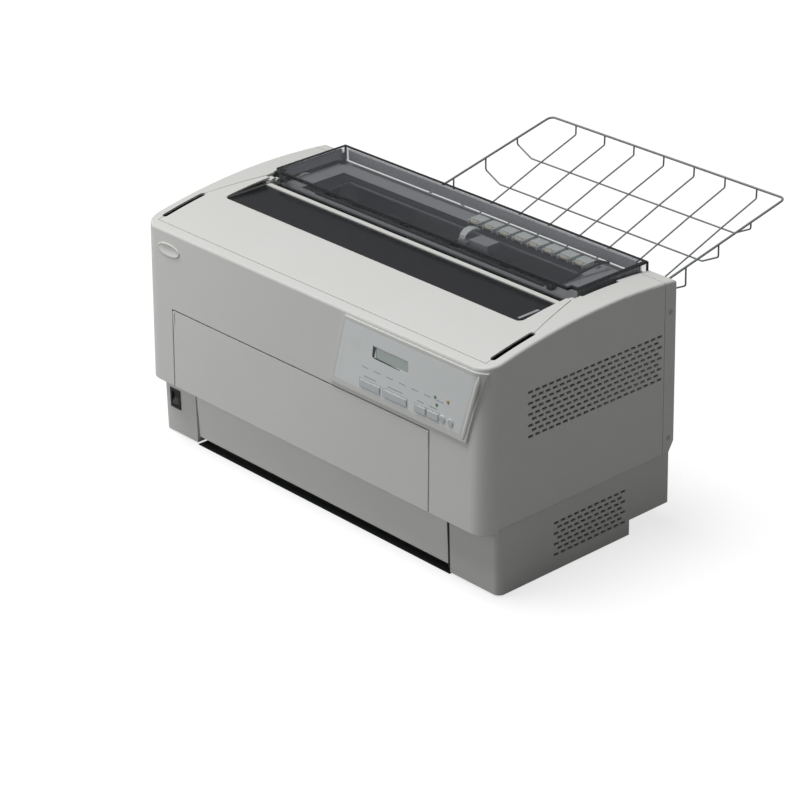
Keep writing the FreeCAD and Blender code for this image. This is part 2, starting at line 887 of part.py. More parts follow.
rotor_side = (f"{fan_out} - fan_depth + fan_strut / 2", f"{fan_out} - fan_strut - play")
hub = rod("rotor_hub", "side", fan_centre, rotor_side, "fan_hub")
blade_side = (amount(rotor_side[0]) + amount("fan_blade_wall"),
              amount(rotor_side[1]) - amount("fan_blade_wall"))
blades = []
for index in range(int(amount("fan_blades"))):
    reach = amount("fan_bore - fan_tip_play")
    wall = amount("fan_blade_wall")
    blade = Part.makeBox(blade_side[1] - blade_side[0], wall, reach, FreeCAD.Vector(0, -wall / 2, 0))
    middle = FreeCAD.Vector((blade_side[1] - blade_side[0]) / 2, 0, 0)
    blade.rotate(middle, FreeCAD.Vector(0, 0, 1), amount("fan_blade_pitch"))
    blade.rotate(FreeCAD.Vector(), FreeCAD.Vector(1, 0, 0), 360 * index / amount("fan_blades"))
    blade.translate(FreeCAD.Vector(blade_side[0], amount(f"{front} + fan_back"), amount("fan_up")))
    blades.append(blade)
rotor = join("rotor_solid", hub, solid("rotor_blades", Part.makeCompound(blades)))
rotor_bore = rod("rotor_bore", "side", fan_centre,
                 (rotor_side[0] + " + fan_strut / 2", rotor_side[1] + " + overrun"),
                 "fan_axle + shaft_play")
tip_limit = rod("rotor_limit", "side", fan_centre, rotor_side, "fan_bore - fan_tip_play")
node("fan_rotor", cut("rotor", meet("rotor_trimmed", rotor, tip_limit), rotor_bore))

inlet_back = ("base_rear_back + inlet_lip - inlet_depth", "base_rear_back + inlet_lip")
inlet_parts = join(
    "inlet_outside",
    block("inlet_body", inlet_span, inlet_back, inlet_up),
    block("inlet_flange_plate", around("-inlet_side", "inlet_width / 2"), ("base_rear_back", inlet_back[1]),
          around("inlet_up", "inlet_height / 2")),
)
inlet_cavity = block("inlet_cavity", around("-inlet_side", "inlet_width / 2 - inlet_lip - inlet_wall"),
                     (f"{inlet_back[1]} - inlet_socket", f"{inlet_back[1]} + overrun"),
                     around("inlet_up", "inlet_height / 2 - inlet_lip - inlet_wall"))
inlet_blades = [
    block(f"inlet_blade_{index}", around(f"-inlet_side + {index - 1} * inlet_blade_pitch", "inlet_blade / 2"),
          (f"{inlet_back[1]} - inlet_socket - inlet_wall / 2",
           f"{inlet_back[1]} - inlet_socket + inlet_blade_length"),
          around("inlet_up", "inlet_blade"))
    for index in range(3)
]
node("ac_inlet", join("inlet", cut("inlet_shell", inlet_parts, inlet_cavity), *inlet_blades))

port_back = ("base_rear_back - port_depth", "base_rear_back")
port_parts = [block("port_bracket", ("port_side - port_width / 2", "port_side + port_pitch + port_width / 2"),
                    (port_back[0], f"{port_back[0]} + port_wall"), port_up)]
port_holes = []
for index, port in enumerate(ports):
    port_parts.append(block(f"port_body_{index}", around(port, "port_width / 2"), port_back, port_up))
    port_holes.append(block(f"port_hole_{index}", around(port, "port_width / 2 - port_wall"),
                            ("base_rear_back - port_socket", "base_rear_back + overrun"),
                            around("port_up", "port_height / 2 - port_wall")))
tongues = [block(f"port_tongue_{index}", around(port, "port_width / 3"),
                 ("base_rear_back - port_socket - port_wall",
                 "base_rear_back - port_wall"), around("port_up", "port_wall / 2")) for index,
                 port in enumerate(ports)]
node("interface_sockets", join("sockets", cut("socket_shells", join("socket_blocks", *port_parts),
                                              *port_holes), *tongues))

# Frame
frame_points = [
    ("frame_front_back", base_floor),
    ("base_step_back - frame_heel", base_floor),
    ("base_step_back - frame_heel", step_floor),
    ("frame_rear_back", step_floor),
    ("frame_rear_back", "frame_high_top"),
    ("frame_step_back", "frame_high_top"),
    ("frame_step_back", "frame_low_top"),
    ("frame_front_back", "frame_low_top"),
]
front_shaft = ("front_shaft_back", "front_shaft_up")
rear_shaft = ("rear_shaft_back", "rear_shaft_up")
front_rod = ("front_shaft_back", "front_shaft_up + tractor_rod_rise")
rear_rod = ("rear_shaft_back", "rear_shaft_up + tractor_rod_rise")
exit_shaft = ("exit_back", "exit_up")
stays = [("stay_front_back", "stay_front_up"), ("stay_rear_back", "stay_rear_up")]
guides = [("guide_front_back", "guide_up"), ("guide_rear_back", "guide_up")]
centre_distance = "(gear_module * (gear_teeth + pinion_teeth) / 2)"
motor_centre = (f"exit_back + {centre_distance} * cos(feed_motor_angle)",
                f"exit_up - {centre_distance} * sin(feed_motor_angle)")
stay_list = [(spot, "stay_radius") for spot in stays]
guide_list = [(spot, "guide_radius") for spot in guides]
guide_list += [(front_rod, "tractor_rod"), (rear_rod, "tractor_rod")]
frame_holes = stay_list + guide_list
frame_holes += [(front_shaft, "tractor_shaft + shaft_play"), (rear_shaft, "tractor_shaft + shaft_play")]
frame_holes += [(exit_shaft, "exit_shaft + shaft_play"), (motor_centre, "feed_motor_shaft + play")]
for way, hand in ((-1, "left"), (1, "right")):
    span = sided(way, "frame_side", frame_outer)
    plate = side_outline(f"{hand}_frame_plate", frame_points, span)
    holes = [rod(f"{hand}_frame_hole_{index}", "side", spot,
                 sided(way, "frame_side - overrun", f"{frame_outer} + overrun"), size)
             for index, (spot, size) in enumerate(frame_holes)]
    node(f"side_frame_{hand}", cut(f"{hand}_frame", plate, *holes))

across = (f"-({frame_outer})", frame_outer)


def cross_rods(name, rods):
    # a node of separate rods across the frame
    group = doc.addObject("Part::Compound", name + "_group")
    group.Links = [rod(f"{name}_{index}", "side", spot, across, radius)
                   for index, (spot, radius) in enumerate(rods)]
    node(name, group)


cross_rods("frame_stays", stay_list)
cross_rods("guide_rods", guide_list)

platen_top = "platen_low + platen_height"
platen_points = [
    ("platen_front_back", "platen_low"),
    ("platen_front_back + platen_depth", "platen_low"),
    ("platen_front_back + platen_depth", platen_top),
    ("platen_front_back + platen_chamfer", platen_top),
    ("platen_front_back", f"{platen_top} - platen_chamfer"),
]
deck_hole = block("deck_hole", ("-deck_hole_left", "deck_hole_right"),
                  ("deck_hole_front_back", "deck_hole_rear_back"),
                  ("frame_high_top - overrun", "frame_high_top + deck_wall + overrun"))
deck_points = [
    ("frame_step_back", "frame_high_top"),
    ("frame_rear_back", "frame_high_top"),
    ("frame_rear_back", "rear_sill - deck_wall"),
    ("case_depth - wall", "rear_sill - deck_wall"),
    ("case_depth - wall", "rear_sill"),
    ("frame_rear_back + deck_wall", "rear_sill"),
    ("frame_rear_back + deck_wall", "frame_high_top + deck_wall"),
    ("frame_step_back", "frame_high_top + deck_wall"),
]
deck_plate = side_outline("deck_plate", deck_points, across)
node("exit_deck", cut("deck", deck_plate, deck_hole))
inside = ("-frame_side", "frame_side")
node("platen", side_outline("platen_bar", platen_points, inside))

# Carriage and its belt
belt_low = "(bed_top + belt_lift)"
belt_up = (belt_low, f"{belt_low} + belt_width")
belt_inner = "(pulley_radius + play)"
bed = block("bed_plate", inside, ("bed_front_back", "bed_rear_back"), ("bed_top - bed_wall", "bed_top"))
bed_hole = rod("bed_hole", "up", ("pulley_side", "belt_back"),
               ("bed_top - bed_wall - overrun", "bed_top + overrun"), "motor_bore")
pulley_up = (f"{belt_low} - pulley_flange_wall", f"{belt_low} + belt_width + pulley_flange_wall")
post = rod("idler_post_rod", "up", ("-pulley_side", "belt_back"),
           ("bed_top - bed_wall", f"{pulley_up[1]} + play"), "idler_post")
node("carriage_bed", join("bed", cut("bed_drilled", bed, bed_hole), post))


def pulley_parts(name, along, centre, low, high):
    # a belt pulley with a flange on both sides of the belt
    return [
        rod(name + "_drum", along, centre, (f"{low} - pulley_flange_wall", f"{high} + pulley_flange_wall"),
            "pulley_radius"),
        rod(name + "_first_flange", along, centre, (f"{low} - pulley_flange_wall", f"{low} - play"),
            "pulley_radius + pulley_flange"),
        rod(name + "_last_flange", along, centre, (f"{high} + play", f"{high} + pulley_flange_wall"),
            "pulley_radius + pulley_flange"),
    ]


motor_spot = ("pulley_side", "belt_back")
motor_shaft_rod = rod("motor_shaft_rod", "up", motor_spot,
                      ("bed_top - bed_wall - motor_shaft_length", pulley_up[1]), "motor_shaft")
node("motor_pulley", join("driving_pulley", *pulley_parts("driving", "up", motor_spot, *belt_up),
                          motor_shaft_rod))
idler_spot = ("-pulley_side", "belt_back")
idler_bore = rod("idler_bore", "up", idler_spot,
                 (f"{pulley_up[0]} - overrun", f"{pulley_up[1]} + overrun"), "idler_post + shaft_play")
node("idler_pulley", cut("idler", join("idler_solid",
                                       *pulley_parts("turning", "up", idler_spot, *belt_up)), idler_bore))
motor_up = ("bed_top - bed_wall - motor_length", "bed_top - bed_wall")
motor_can = rod("motor_can", "up", motor_spot, motor_up, "motor_radius")
motor_well = rod("motor_well", "up", motor_spot,
                 ("bed_top - bed_wall - motor_shaft_length - play", "bed_top"), "motor_shaft + shaft_play")
node("carriage_motor", cut("motor", motor_can, motor_well))

belt_ends = [idler_spot, motor_spot]
belt_body = stadium("belt_outside", belt_ends, f"{belt_inner} + belt_wall", belt_up)
belt_space = stadium("belt_inside", belt_ends, belt_inner,
                     (f"{belt_up[0]} - overrun", f"{belt_up[1]} + overrun"))
node("drive_belt", cut("belt", belt_body, belt_space))

carriage_side = around("0", "carriage_half")
carriage_back = ("carriage_front_back", "carriage_rear_back")
carriage_top = "carriage_low + carriage_height"
strand = f"(belt_back - {belt_inner} - belt_wall)"
clamp_up = ("carriage_low - clamp_drop", "carriage_low")
carriage_block = block("carriage_block", carriage_side, carriage_back, ("carriage_low", carriage_top))
clamp = block("clamp_block", around("0", "clamp_half"),
              around(f"{strand} + belt_wall / 2", "clamp_depth / 2"), clamp_up)
clamp_slot = block("clamp_slot", around("0", "clamp_half + overrun"),
                   (f"{strand} - play", f"{strand} + belt_wall + play"),
                   (f"{belt_up[0]} - play", f"{belt_up[1]} + play"))
bores = [rod(f"carriage_bore_{index}", "side", spot, around("0", "carriage_half + overrun"),
             "guide_radius + shaft_play")
         for index, spot in enumerate(guides)]
node("carriage", cut("carriage_drilled", join("carriage_solid", carriage_block, clamp), clamp_slot, *bores))

head_top = f"{carriage_top} + head_block_height"
head_block = block("head_block", around("0", "head_half"), ("head_front_back", "carriage_rear_back"),
                   (carriage_top, head_top))
nose = block("head_nose", around("0", "head_nose_half"), ("head_front_back", "platen_front_back - head_gap"),
             (carriage_top, f"{carriage_top} + head_nose_height"))
fins = []
for index in range(int(amount("head_fins"))):
    start = f"head_front_back + {index} * head_fin_pitch"
    fins.append(block(f"head_fin_{index}", around("0", "head_half"), (start, f"{start} + head_fin_wall"),
                      (f"{head_top} - head_fin_wall", f"{head_top} + head_fin_height")))
node("print_head", join("head", head_block, nose, *fins))

# Ribbon
ribbon_up = ("frame_low_top", "frame_low_top + ribbon_height")
ribbon_points = [
    ("-ribbon_side", "ribbon_front_back + ribbon_chamfer"),
    ("-ribbon_side + ribbon_chamfer", "ribbon_front_back"),
    ("ribbon_side - ribbon_chamfer", "ribbon_front_back"),
    ("ribbon_side", "ribbon_front_back + ribbon_chamfer"),
    ("ribbon_side", "ribbon_rear_back"),
    ("-ribbon_side", "ribbon_rear_back"),
]
ribbon_parts = [plan_outline("ribbon_box", ribbon_points, ribbon_up)]
tab_back = around("(ribbon_front_back + ribbon_rear_back) / 2", "ribbon_tab")
for way, hand in ((-1, "left"), (1, "right")):
    ribbon_parts.append(block(f"{hand}_ribbon_tab",
                              sided(way, "ribbon_side - ribbon_chamfer", frame_outer), tab_back,
                              ("frame_low_top", "frame_low_top + ribbon_tab")))
    ribbon_parts.append(block(f"{hand}_ribbon_arm", sided(way, "ribbon_side - ribbon_arm", "ribbon_side"),
                              ("ribbon_rear_back - ribbon_arm", "ribbon_rear_back + ribbon_arm_reach"),
                              ("frame_low_top", "frame_low_top + ribbon_height / 2")))
knob_spot = ("knob_side", "(ribbon_front_back + ribbon_rear_back) / 2")
knob_well = rod("knob_well", "up", knob_spot, (f"{ribbon_up[1]} - ribbon_height / 2",
                                               f"{ribbon_up[1]} + overrun"), "knob_stem + shaft_play")
node("ribbon_cartridge", cut("ribbon", join("ribbon_solid", *ribbon_parts), knob_well))
knob_disc = rod("knob_disc", "up", knob_spot, (f"{ribbon_up[1]} + play",
                                               f"{ribbon_up[1]} + play + knob_height"), "knob_radius")
knob_stem = rod("knob_stem_rod", "up", knob_spot,
                (f"{ribbon_up[1]} - ribbon_height / 2 + play", f"{ribbon_up[1]} + play"), "knob_stem")
scallops = []
for index in range(int(amount("knob_scallops"))):
    turn = 360 * index / int(amount("knob_scallops"))
    spot = (f"{knob_spot[0]} + knob_radius * cos({turn})", f"{knob_spot[1]} + knob_radius * sin({turn})")
    scallops.append(rod(f"knob_scallop_{index}", "up", spot,
                        (ribbon_up[1], f"{ribbon_up[1]} + knob_height + overrun"), "knob_scallop"))
node("ribbon_knob", cut("knob", join("knob_solid", knob_disc, knob_stem), *scallops))

# Tractors: the rear pair is the front pair turned round in depth
tractor_span = ("tractor_side - tractor_half", "tractor_side + tractor_half")
hinge_side = "(tractor_side + tractor_half + tractor_barrel + play)"
ear_span = ("tractor_side + tractor_half - tractor_ear / 2", f"{hinge_side} + tractor_barrel")


def deep(way, shaft_back, low, high):
    # a span in depth measured from a shaft towards the paper (negative) and away from it
    return (f"{shaft_back} + ({low})", f"{shaft_back} + ({high})") if way > 0 else (
        f"{shaft_back} - ({high})", f"{shaft_back} - ({low})")


def tractor(name, side_way, back_way, shaft):
    shaft_back, shaft_up = shaft
    low, high = f"({shaft_up} - tractor_below)", f"({shaft_up} + tractor_above)"
    rod_spot = (shaft_back, f"{shaft_up} + tractor_rod_rise")
    span = sided(side_way, *tractor_span)
    paper = "-tractor_face - tractor_paper_gap"
    body = block(name + "_body", span, deep(back_way, shaft_back, "-tractor_face", "tractor_heel"),
                 (low, high))
    ear_back = deep(back_way, shaft_back, f"{paper} - tractor_lid", "-tractor_face + tractor_lid")
    ears = [
        block(name + "_low_ear", sided(side_way, *ear_span), ear_back,
              (f"{low} + tractor_ear", f"{low} + 2 * tractor_ear")),
        block(name + "_high_ear", sided(side_way, *ear_span), ear_back,
              (f"{high} - 2 * tractor_ear", f"{high} - tractor_ear")),
    ]
    webs = [
        block(name + "_web", sided(side_way, *ear_span),
              deep(back_way, shaft_back, "-tractor_face + play", "-tractor_face + tractor_lid"),
              (f"{low} + tractor_ear", f"{high} - tractor_ear")),
    ]
    middle_up = f"{shaft_up} + (tractor_above - tractor_below) / 2"
    first_pin = f"({middle_up} - (tractor_pin_count - 1) / 2 * tractor_pin_pitch)"
    pins = [
        rod(f"{name}_pin_{index}", "back", (sided(side_way, "tractor_side", "tractor_side")[0],
                                            f"{first_pin} + {index} * tractor_pin_pitch"),
            deep(back_way, shaft_back, "-tractor_face - tractor_pin_length",
                 "-tractor_face + tractor_lid"), "tractor_pin")
        for index in range(int(amount("tractor_pin_count")))
    ]
    through = sided(side_way, "tractor_side - tractor_half - overrun",
                    "tractor_side + tractor_half + overrun")
    hinge_spot = (sided(side_way, hinge_side, hinge_side)[0],
                  f"{shaft_back} + {back_way} * ({paper} - tractor_lid / 2)")
    holes = [
        rod(name + "_bore", "side", shaft, through, "tractor_bore"),
        rod(name + "_slide", "side", rod_spot, through, "tractor_rod + shaft_play"),
        rod(name + "_hinge_hole", "up", hinge_spot, (low, high), "tractor_hinge + shaft_play"),
    ]
    node(name, cut(name + "_drilled", join(name + "_solid", body, *ears, *webs, *pins), *holes))
    lid_back = deep(back_way, shaft_back, f"{paper} - tractor_lid", paper)
    lid_span = sided(side_way, "tractor_side - tractor_half", f"{hinge_side} - tractor_barrel / 2")
    lid_up = (f"{low} + 2 * tractor_ear + play", f"{high} - 2 * tractor_ear - play")
    plate = block(name + "_lid_plate", lid_span, lid_back, lid_up)
    barrel = rod(name + "_lid_barrel", "up", hinge_spot, lid_up, "tractor_lid / 2")
    pin_up = (f"{low} + tractor_ear", f"{high} - tractor_ear")
    pin = rod(name + "_lid_pin", "up", hinge_spot, pin_up, "tractor_hinge")
    slot = block(name + "_lid_slot", sided(side_way, "tractor_side - tractor_slot",
                                           "tractor_side + tractor_slot"),
                 deep(back_way, shaft_back, f"{paper} - tractor_lid - overrun", f"{paper} + overrun"),
                 (f"{first_pin} - tractor_pin_pitch / 2",
                  f"{first_pin} + (tractor_pin_count - 1 / 2) * tractor_pin_pitch"))
    node(name + "_lid", join(name + "_lid_solid", cut(name + "_lid_slotted", plate, slot), barrel, pin))


for side_way, hand in ((-1, "left"), (1, "right")):
    tractor(f"front_tractor_{hand}", side_way, 1, front_shaft)
    tractor(f"rear_tractor_{hand}", side_way, -1, rear_shaft)

# Feed drive: both tractor shafts and the exit rollers run off one belt outside the left frame
gear_side = (f"-({frame_outer} + gear_offset + gear_width)", f"-({frame_outer} + gear_offset)")
drive_side = (f"-({frame_outer} + feed_belt_offset + feed_belt_width)",
              f"-({frame_outer} + feed_belt_offset)")
shaft_side = (f"{drive_side[0]} - pulley_flange_wall", f"{frame_outer} + shaft_end_play")


def tractor_shaft(name, spot):
    ends = rod(name + "_ends", "side", spot, shaft_side, "tractor_shaft")
    back, up = spot
    bar = block(name + "_bar", ("-frame_side + play", "frame_side - play"), around(back, "tractor_shaft"),
                around(up, "tractor_shaft"))
    node(name, join(name + "_solid", ends, bar))


tractor_shaft("front_tractor_shaft", front_shaft)
tractor_shaft("rear_tractor_shaft", rear_shaft)
for name, spot in (("front_pulley", front_shaft), ("rear_pulley", rear_shaft)):
    bore = rod(name + "_bore", "side", spot, (f"{drive_side[0]} - overrun", f"{drive_side[1]} + overrun"),
               "tractor_shaft")
    node(name, cut(name + "_bored", join(name + "_solid", *pulley_parts(name, "side", spot, *drive_side)),
                   bore))

node("exit_shaft", rod("exit_bar", "side", exit_shaft, shaft_side, "exit_shaft"))
rollers = []
for index in range(int(amount("roller_count"))):
    middle = f"({index} - (roller_count - 1) / 2) * roller_pitch"
    outside = rod(f"roller_outside_{index}", "side", exit_shaft, around(middle, "roller_length / 2"),
                  "roller_radius")
    bore = rod(f"roller_bore_{index}", "side", exit_shaft, around(middle, "roller_length / 2 + overrun"),
               "exit_shaft")
    rollers.append(cut(f"roller_{index}", outside, bore))
roller_group = doc.addObject("Part::Compound", "rollers")
roller_group.Links = rollers
node("exit_rollers", roller_group)


def toothed(name, teeth, side, centre, start):
    # an involute gear with its first tooth at an angle from straight back towards up
    module = amount("gear_module")
    pitch = module * teeth / 2
    pressure = math.radians(amount("gear_pressure_angle"))
    base = pitch * math.cos(pressure)
    root = pitch - amount("gear_root_share") * module
    tip = pitch + module * (1 - amount("gear_backlash") / 2)
    half_tooth = math.pi / (2 * teeth) - amount("gear_backlash") / (4 * pitch)
    steps = int(amount("gear_flank_steps"))
    flank = [(root, None)] + [(max(base, root) + (tip - max(base, root)) * step / steps, step)
                              for step in range(steps + 1)]
    corners = []
    for index in range(teeth):
        middle = math.radians(start) + 2 * math.pi * index / teeth
        sides = []
        for radius, step in flank:
            bent = math.acos(min(1, base / max(radius, base)))
            wide = half_tooth + (math.tan(pressure) - pressure) - (math.tan(bent) - bent)
            sides.append((radius, wide))
        corners += [(radius, middle - wide) for radius, wide in sides]
        corners += [(radius, middle + wide) for radius, wide in reversed(sides)]
    back, up = amount(f"{front} + {centre[0]}"), amount(centre[1])
    across = amount(side[0])
    points = [FreeCAD.Vector(across, back + radius * math.cos(angle), up + radius * math.sin(angle))
              for radius, angle in corners]
    face = Part.Face(Part.makePolygon(points + points[:1]))
    return solid(name, face.extrude(FreeCAD.Vector(amount(side[1]) - across, 0, 0)))


gear_turn = -amount("feed_motor_angle")
exit_teeth = toothed("exit_teeth", int(amount("gear_teeth")), gear_side, exit_shaft, gear_turn)
exit_hub = rod("exit_hub", "side", exit_shaft, (drive_side[0], gear_side[1]), "gear_hub")
exit_bore = rod("exit_bore", "side", exit_shaft, (f"{drive_side[0]} - overrun", "0"), "exit_shaft")
node("exit_gear", cut("exit_gear_bored", join("exit_gear_solid", exit_teeth, exit_hub,
                                              *pulley_parts("exit_pulley", "side", exit_shaft,
                                                            *drive_side)), exit_bore))
pinion_turn = gear_turn + 180 + 180 / amount("pinion_teeth")
pinion = toothed("pinion_teeth_form", int(amount("pinion_teeth")), gear_side, motor_centre, pinion_turn)
pinion_shaft = rod("pinion_shaft", "side", motor_centre,
                   (gear_side[0], "-frame_side + motor_shaft_length"), "feed_motor_shaft")
node("motor_pinion", join("pinion", pinion, pinion_shaft))
feed_can = rod("feed_can", "side", motor_centre, ("-frame_side", "-frame_side + feed_motor_length"),
               "feed_motor_radius")
feed_well = rod("feed_well", "side", motor_centre,
                ("-frame_side - overrun", "-frame_side + motor_shaft_length + play"),
                "feed_motor_shaft + shaft_play")
node("feed_motor", cut("feed_motor_bored", feed_can, feed_well))

corners = [FreeCAD.Vector(amount(drive_side[0]), amount(f"{front} + {back}"), amount(up)) for back,
           up in (front_shaft, rear_shaft, exit_shaft)]
loop = Part.Face(Part.makePolygon(corners + corners[:1]))
width = FreeCAD.Vector(amount("feed_belt_width"), 0, 0)
inner_loop = loop.makeOffset2D(amount(belt_inner))
outer_loop = loop.makeOffset2D(amount(f"{belt_inner} + belt_wall"))
node("feed_belt", solid("feed_belt_loop", outer_loop.extrude(width).cut(inner_loop.extrude(width))))

# Upper and rear case
upper_form = casing_form("upper_form")
hollow_form = casing_form("hollow_form", "wall")
shell = cut("shell", upper_form, hollow_form)
all_sides = (f"-({half}) - overrun", f"{half} + overrun")
tall = ("0", "crown_top + overrun")
open_up = ("frame_low_top", "crown_top + overrun")
opening_points = [
    ("-top_side - seam / 2", "top_front_back - seam / 2"),
    ("top_side + seam / 2", "top_front_back - seam / 2"),
    ("top_side + seam / 2", "top_bend_back"),
    ("top_rear_side + seam", "top_rear_back"),
    ("top_rear_side + seam", "grip_front_back"),
    ("lid_side + seam", "grip_front_back"),
    ("lid_side + seam", "case_depth + overrun"),
    ("-lid_side - seam", "case_depth + overrun"),
    ("-lid_side - seam", "grip_front_back"),
    ("-top_rear_side - seam", "grip_front_back"),
    ("-top_rear_side - seam", "top_rear_back"),
    ("-top_side - seam / 2", "top_bend_back"),
]
top_opening = plan_outline("top_opening", opening_points, ("rear_sill", "crown_top + overrun"))
front_opening_points = [
    ("-top_side - seam / 2", "top_front_back - seam / 2"),
    ("top_side + seam / 2", "top_front_back - seam / 2"),
    ("top_side + seam / 2", "top_bend_back"),
    ("-top_side - seam / 2", "top_bend_back"),
]
header_opening = plan_outline("header_opening", front_opening_points, open_up)
slots = []
for way, hand in ((-1, "left"), (1, "right")):
    side = sided(way, "top_side + seam / 2", "top_side + seam / 2")[0]
    slots.append(stadium(f"{hand}_finger_slot",
                         [(side, "slot_front_back + slot_half"), (side, "slot_rear_back - slot_half")],
                         "slot_half", open_up))
notches = [block(f"{hand}_grip_notch", sided(way, "lid_side", "lid_side + seam + grip_width"),
                 ("grip_front_back", "grip_rear_back"), open_up)
           for way, hand in ((-1, "left"), (1, "right"))]
cover_opening = block("cover_opening", ("-cover_left_side - cover_seam", "cover_right_side + cover_seam"),
                      ("-overrun", "cover_ledge_back"),
                      ("overhang_floor - overrun", "cover_top + cover_seam"))
keys = ["pause_key", "load_key", "feed_key", "menu_key"]
panel_opening = block("panel_opening", ("pause_key_left - 3 * key_flange", "menu_key_right + 3 * key_flange"),
                      ("-overrun", "front_lean + 3 * wall"),
                      ("key_row_up - 3 * key_flange", "display_low + display_height + key_flange"))
hinge_back = around("top_hinge_back", "top_knuckle")
cover_block_back = ("wall / 2", "cover_hinge_back + cover_knuckle")
upper_blocks = []
pin_list = []
cover_ends = [(-1, "left", "cover_left_side"), (1, "right", "cover_right_side")]
cover_pin_spot = ("cover_hinge_back", "cover_hinge_up")
for way, hand, end in cover_ends:
    upper_blocks.append(block(f"{hand}_cover_block",
                              sided(way, f"{end} + cover_seam", f"{end} + cover_seam + knuckle_length"),
                              cover_block_back,
                              ("overhang_floor + wall / 2", "cover_hinge_up + cover_knuckle")))
    pin_list.append((cover_pin_spot, sided(way, f"{end} + cover_seam + pin_hold - pin_length",
                                           f"{end} + cover_seam + pin_hold")))
top_pin_spot = ("top_hinge_back", "top_hinge_up")
lid_pin_spot = ("lid_hinge_back", "lid_hinge_up")
rim = "(top_rear_side + seam)"
rear_blocks = []
for way, hand in ((-1, "left"), (1, "right")):
    upper_blocks.append(block(f"{hand}_top_block", sided(way, rim, f"{rim} + hinge_block"), hinge_back,
                              ("top_hinge_up - top_knuckle", roof("top_hinge_back", "wall / 2"))))
    pin_list.append((top_pin_spot, sided(way, f"{rim} + pin_hold - pin_length", f"{rim} + pin_hold")))
    rear_blocks.append(block(f"{hand}_lid_block",
                             sided(way, "lid_side + seam",
                                   "lid_side + seam + hinge_block"), around("lid_hinge_back", "top_knuckle"),
                             ("lid_hinge_up - top_knuckle", roof("lid_hinge_back", "wall / 2"))))
    pin_list.append((lid_pin_spot, sided(way, "lid_side + seam + pin_hold - pin_length",
                                         "lid_side + seam + pin_hold")))
pins = [rod(f"hinge_pin_{index}", "side", spot, span, "pin_radius") for index,
        (spot, span) in enumerate(pin_list)]
pin_group = doc.addObject("Part::Compound", "pins")
pin_group.Links = pins
node("hinge_pins", pin_group)
upper_vents = vent_holes("upper_vents", ("vent_front_back", "vent_rear_back"), ("vent_low", "vent_high"),
                         f"{half} - wall / 2")
rear_part = block("rear_part", all_sides, ("rear_seam_back", "case_depth + overrun"), tall)
front_part = block("front_part", all_sides, ("-overrun", "rear_seam_back + seam / 2"), tall)
upper_cut = cut("upper_cut", shell, rear_part, top_opening, header_opening, *slots, *notches,
                cover_opening, panel_opening, upper_vents)
held = [rod(f"upper_pin_hole_{index}", "side", spot, span, "pin_radius") for index,
        (spot, span) in enumerate(pin_list) if spot != lid_pin_spot]
node("upper_case", cut("upper_drilled", join("upper_with_blocks", upper_cut, *upper_blocks), *held))

screw_spots = [(way, up) for way in (-1, 1) for up in ("screw_low", "screw_high")]
screw_back = "(rear_seam_back + case_depth) / 2"
screws = [rod(f"case_screw_{index}", "side", (screw_back, up),
              sided(way, f"{half} - screw_length", f"{half} - wall / 6"), "screw_radius")
          for index, (way, up) in enumerate(screw_spots)]
screw_holes = [rod(f"screw_hole_{index}", "side", (screw_back, up),
                   sided(way, f"{half} - screw_length", f"{half} + overrun"), "screw_radius")
               for index, (way, up) in enumerate(screw_spots)]
screw_group = doc.addObject("Part::Compound", "screws")
screw_group.Links = screws
node("case_screws", screw_group)
stub_back = ("case_depth - wall - rack_boss_length", "case_depth - wall / 2")
bosses = [rod(f"rack_boss_{index}", "back", (f"{way} * rack_side", "rack_low"), stub_back, "rack_boss")
          for index, way in enumerate((-1, 1))]
boss_holes = [rod(f"rack_hole_{index}", "back", (f"{way} * rack_side", "rack_low"),
                  (f"{stub_back[0]} - overrun", "case_depth + overrun"),
                  "rack_wire + rack_play") for index, way in enumerate((-1, 1))]
rear_slot = block("rear_slot", ("-rear_slot_side", "rear_slot_side"),
                  ("case_depth - 2 * wall", "case_depth + overrun"),
                  ("rear_slot_low", "rear_slot_low + rear_slot_height"))
rear_cut = cut("rear_cut", shell, front_part, top_opening, rear_slot, *screw_holes)
rear_held = [rod(f"rear_pin_hole_{index}", "side", spot, span, "pin_radius") for index,
             (spot, span) in enumerate(pin_list) if spot == lid_pin_spot]
node("rear_case", cut("rear_drilled", join("rear_with_blocks", rear_cut, *rear_blocks, *bosses),
                      *boss_holes, *rear_held))

# Front cover
cover_side = ("-cover_left_side", "cover_right_side")
cover_plate = leaning("cover_plate", cover_side, ("overhang_floor", "cover_top"), "0", "wall")
web_back = ("wall / 2", "cover_hinge_back")
cover_parts = [cover_plate, block("cover_flange", cover_side,
                                  (lean("cover_top") + " + wall / 2",
                                   "cover_rib + wall"), ("cover_top - wall", "cover_top"))]
for way, hand, end in cover_ends:
    span = sided(way, f"{end} - knuckle_length", end)
    cover_parts.append(rod(f"{hand}_cover_knuckle", "side", cover_pin_spot, span, "cover_knuckle"))
    cover_parts.append(block(f"{hand}_cover_web", span, web_back, around("cover_hinge_up", "cover_knuckle")))
    cover_parts.append(block(f"{hand}_cover_rib", sided(way, f"{end} - wall", end), ("wall", "cover_rib"),
                             ("cover_hinge_up", "cover_top - wall / 2")))
cover_holes = [rod(f"cover_pin_hole_{index}", "side", spot, span, "pin_radius + shaft_play")
               for index, (spot, span) in enumerate(pin_list) if spot == cover_pin_spot]
node("front_cover", cut("cover_drilled", join("cover_solid", *cover_parts), *cover_holes))

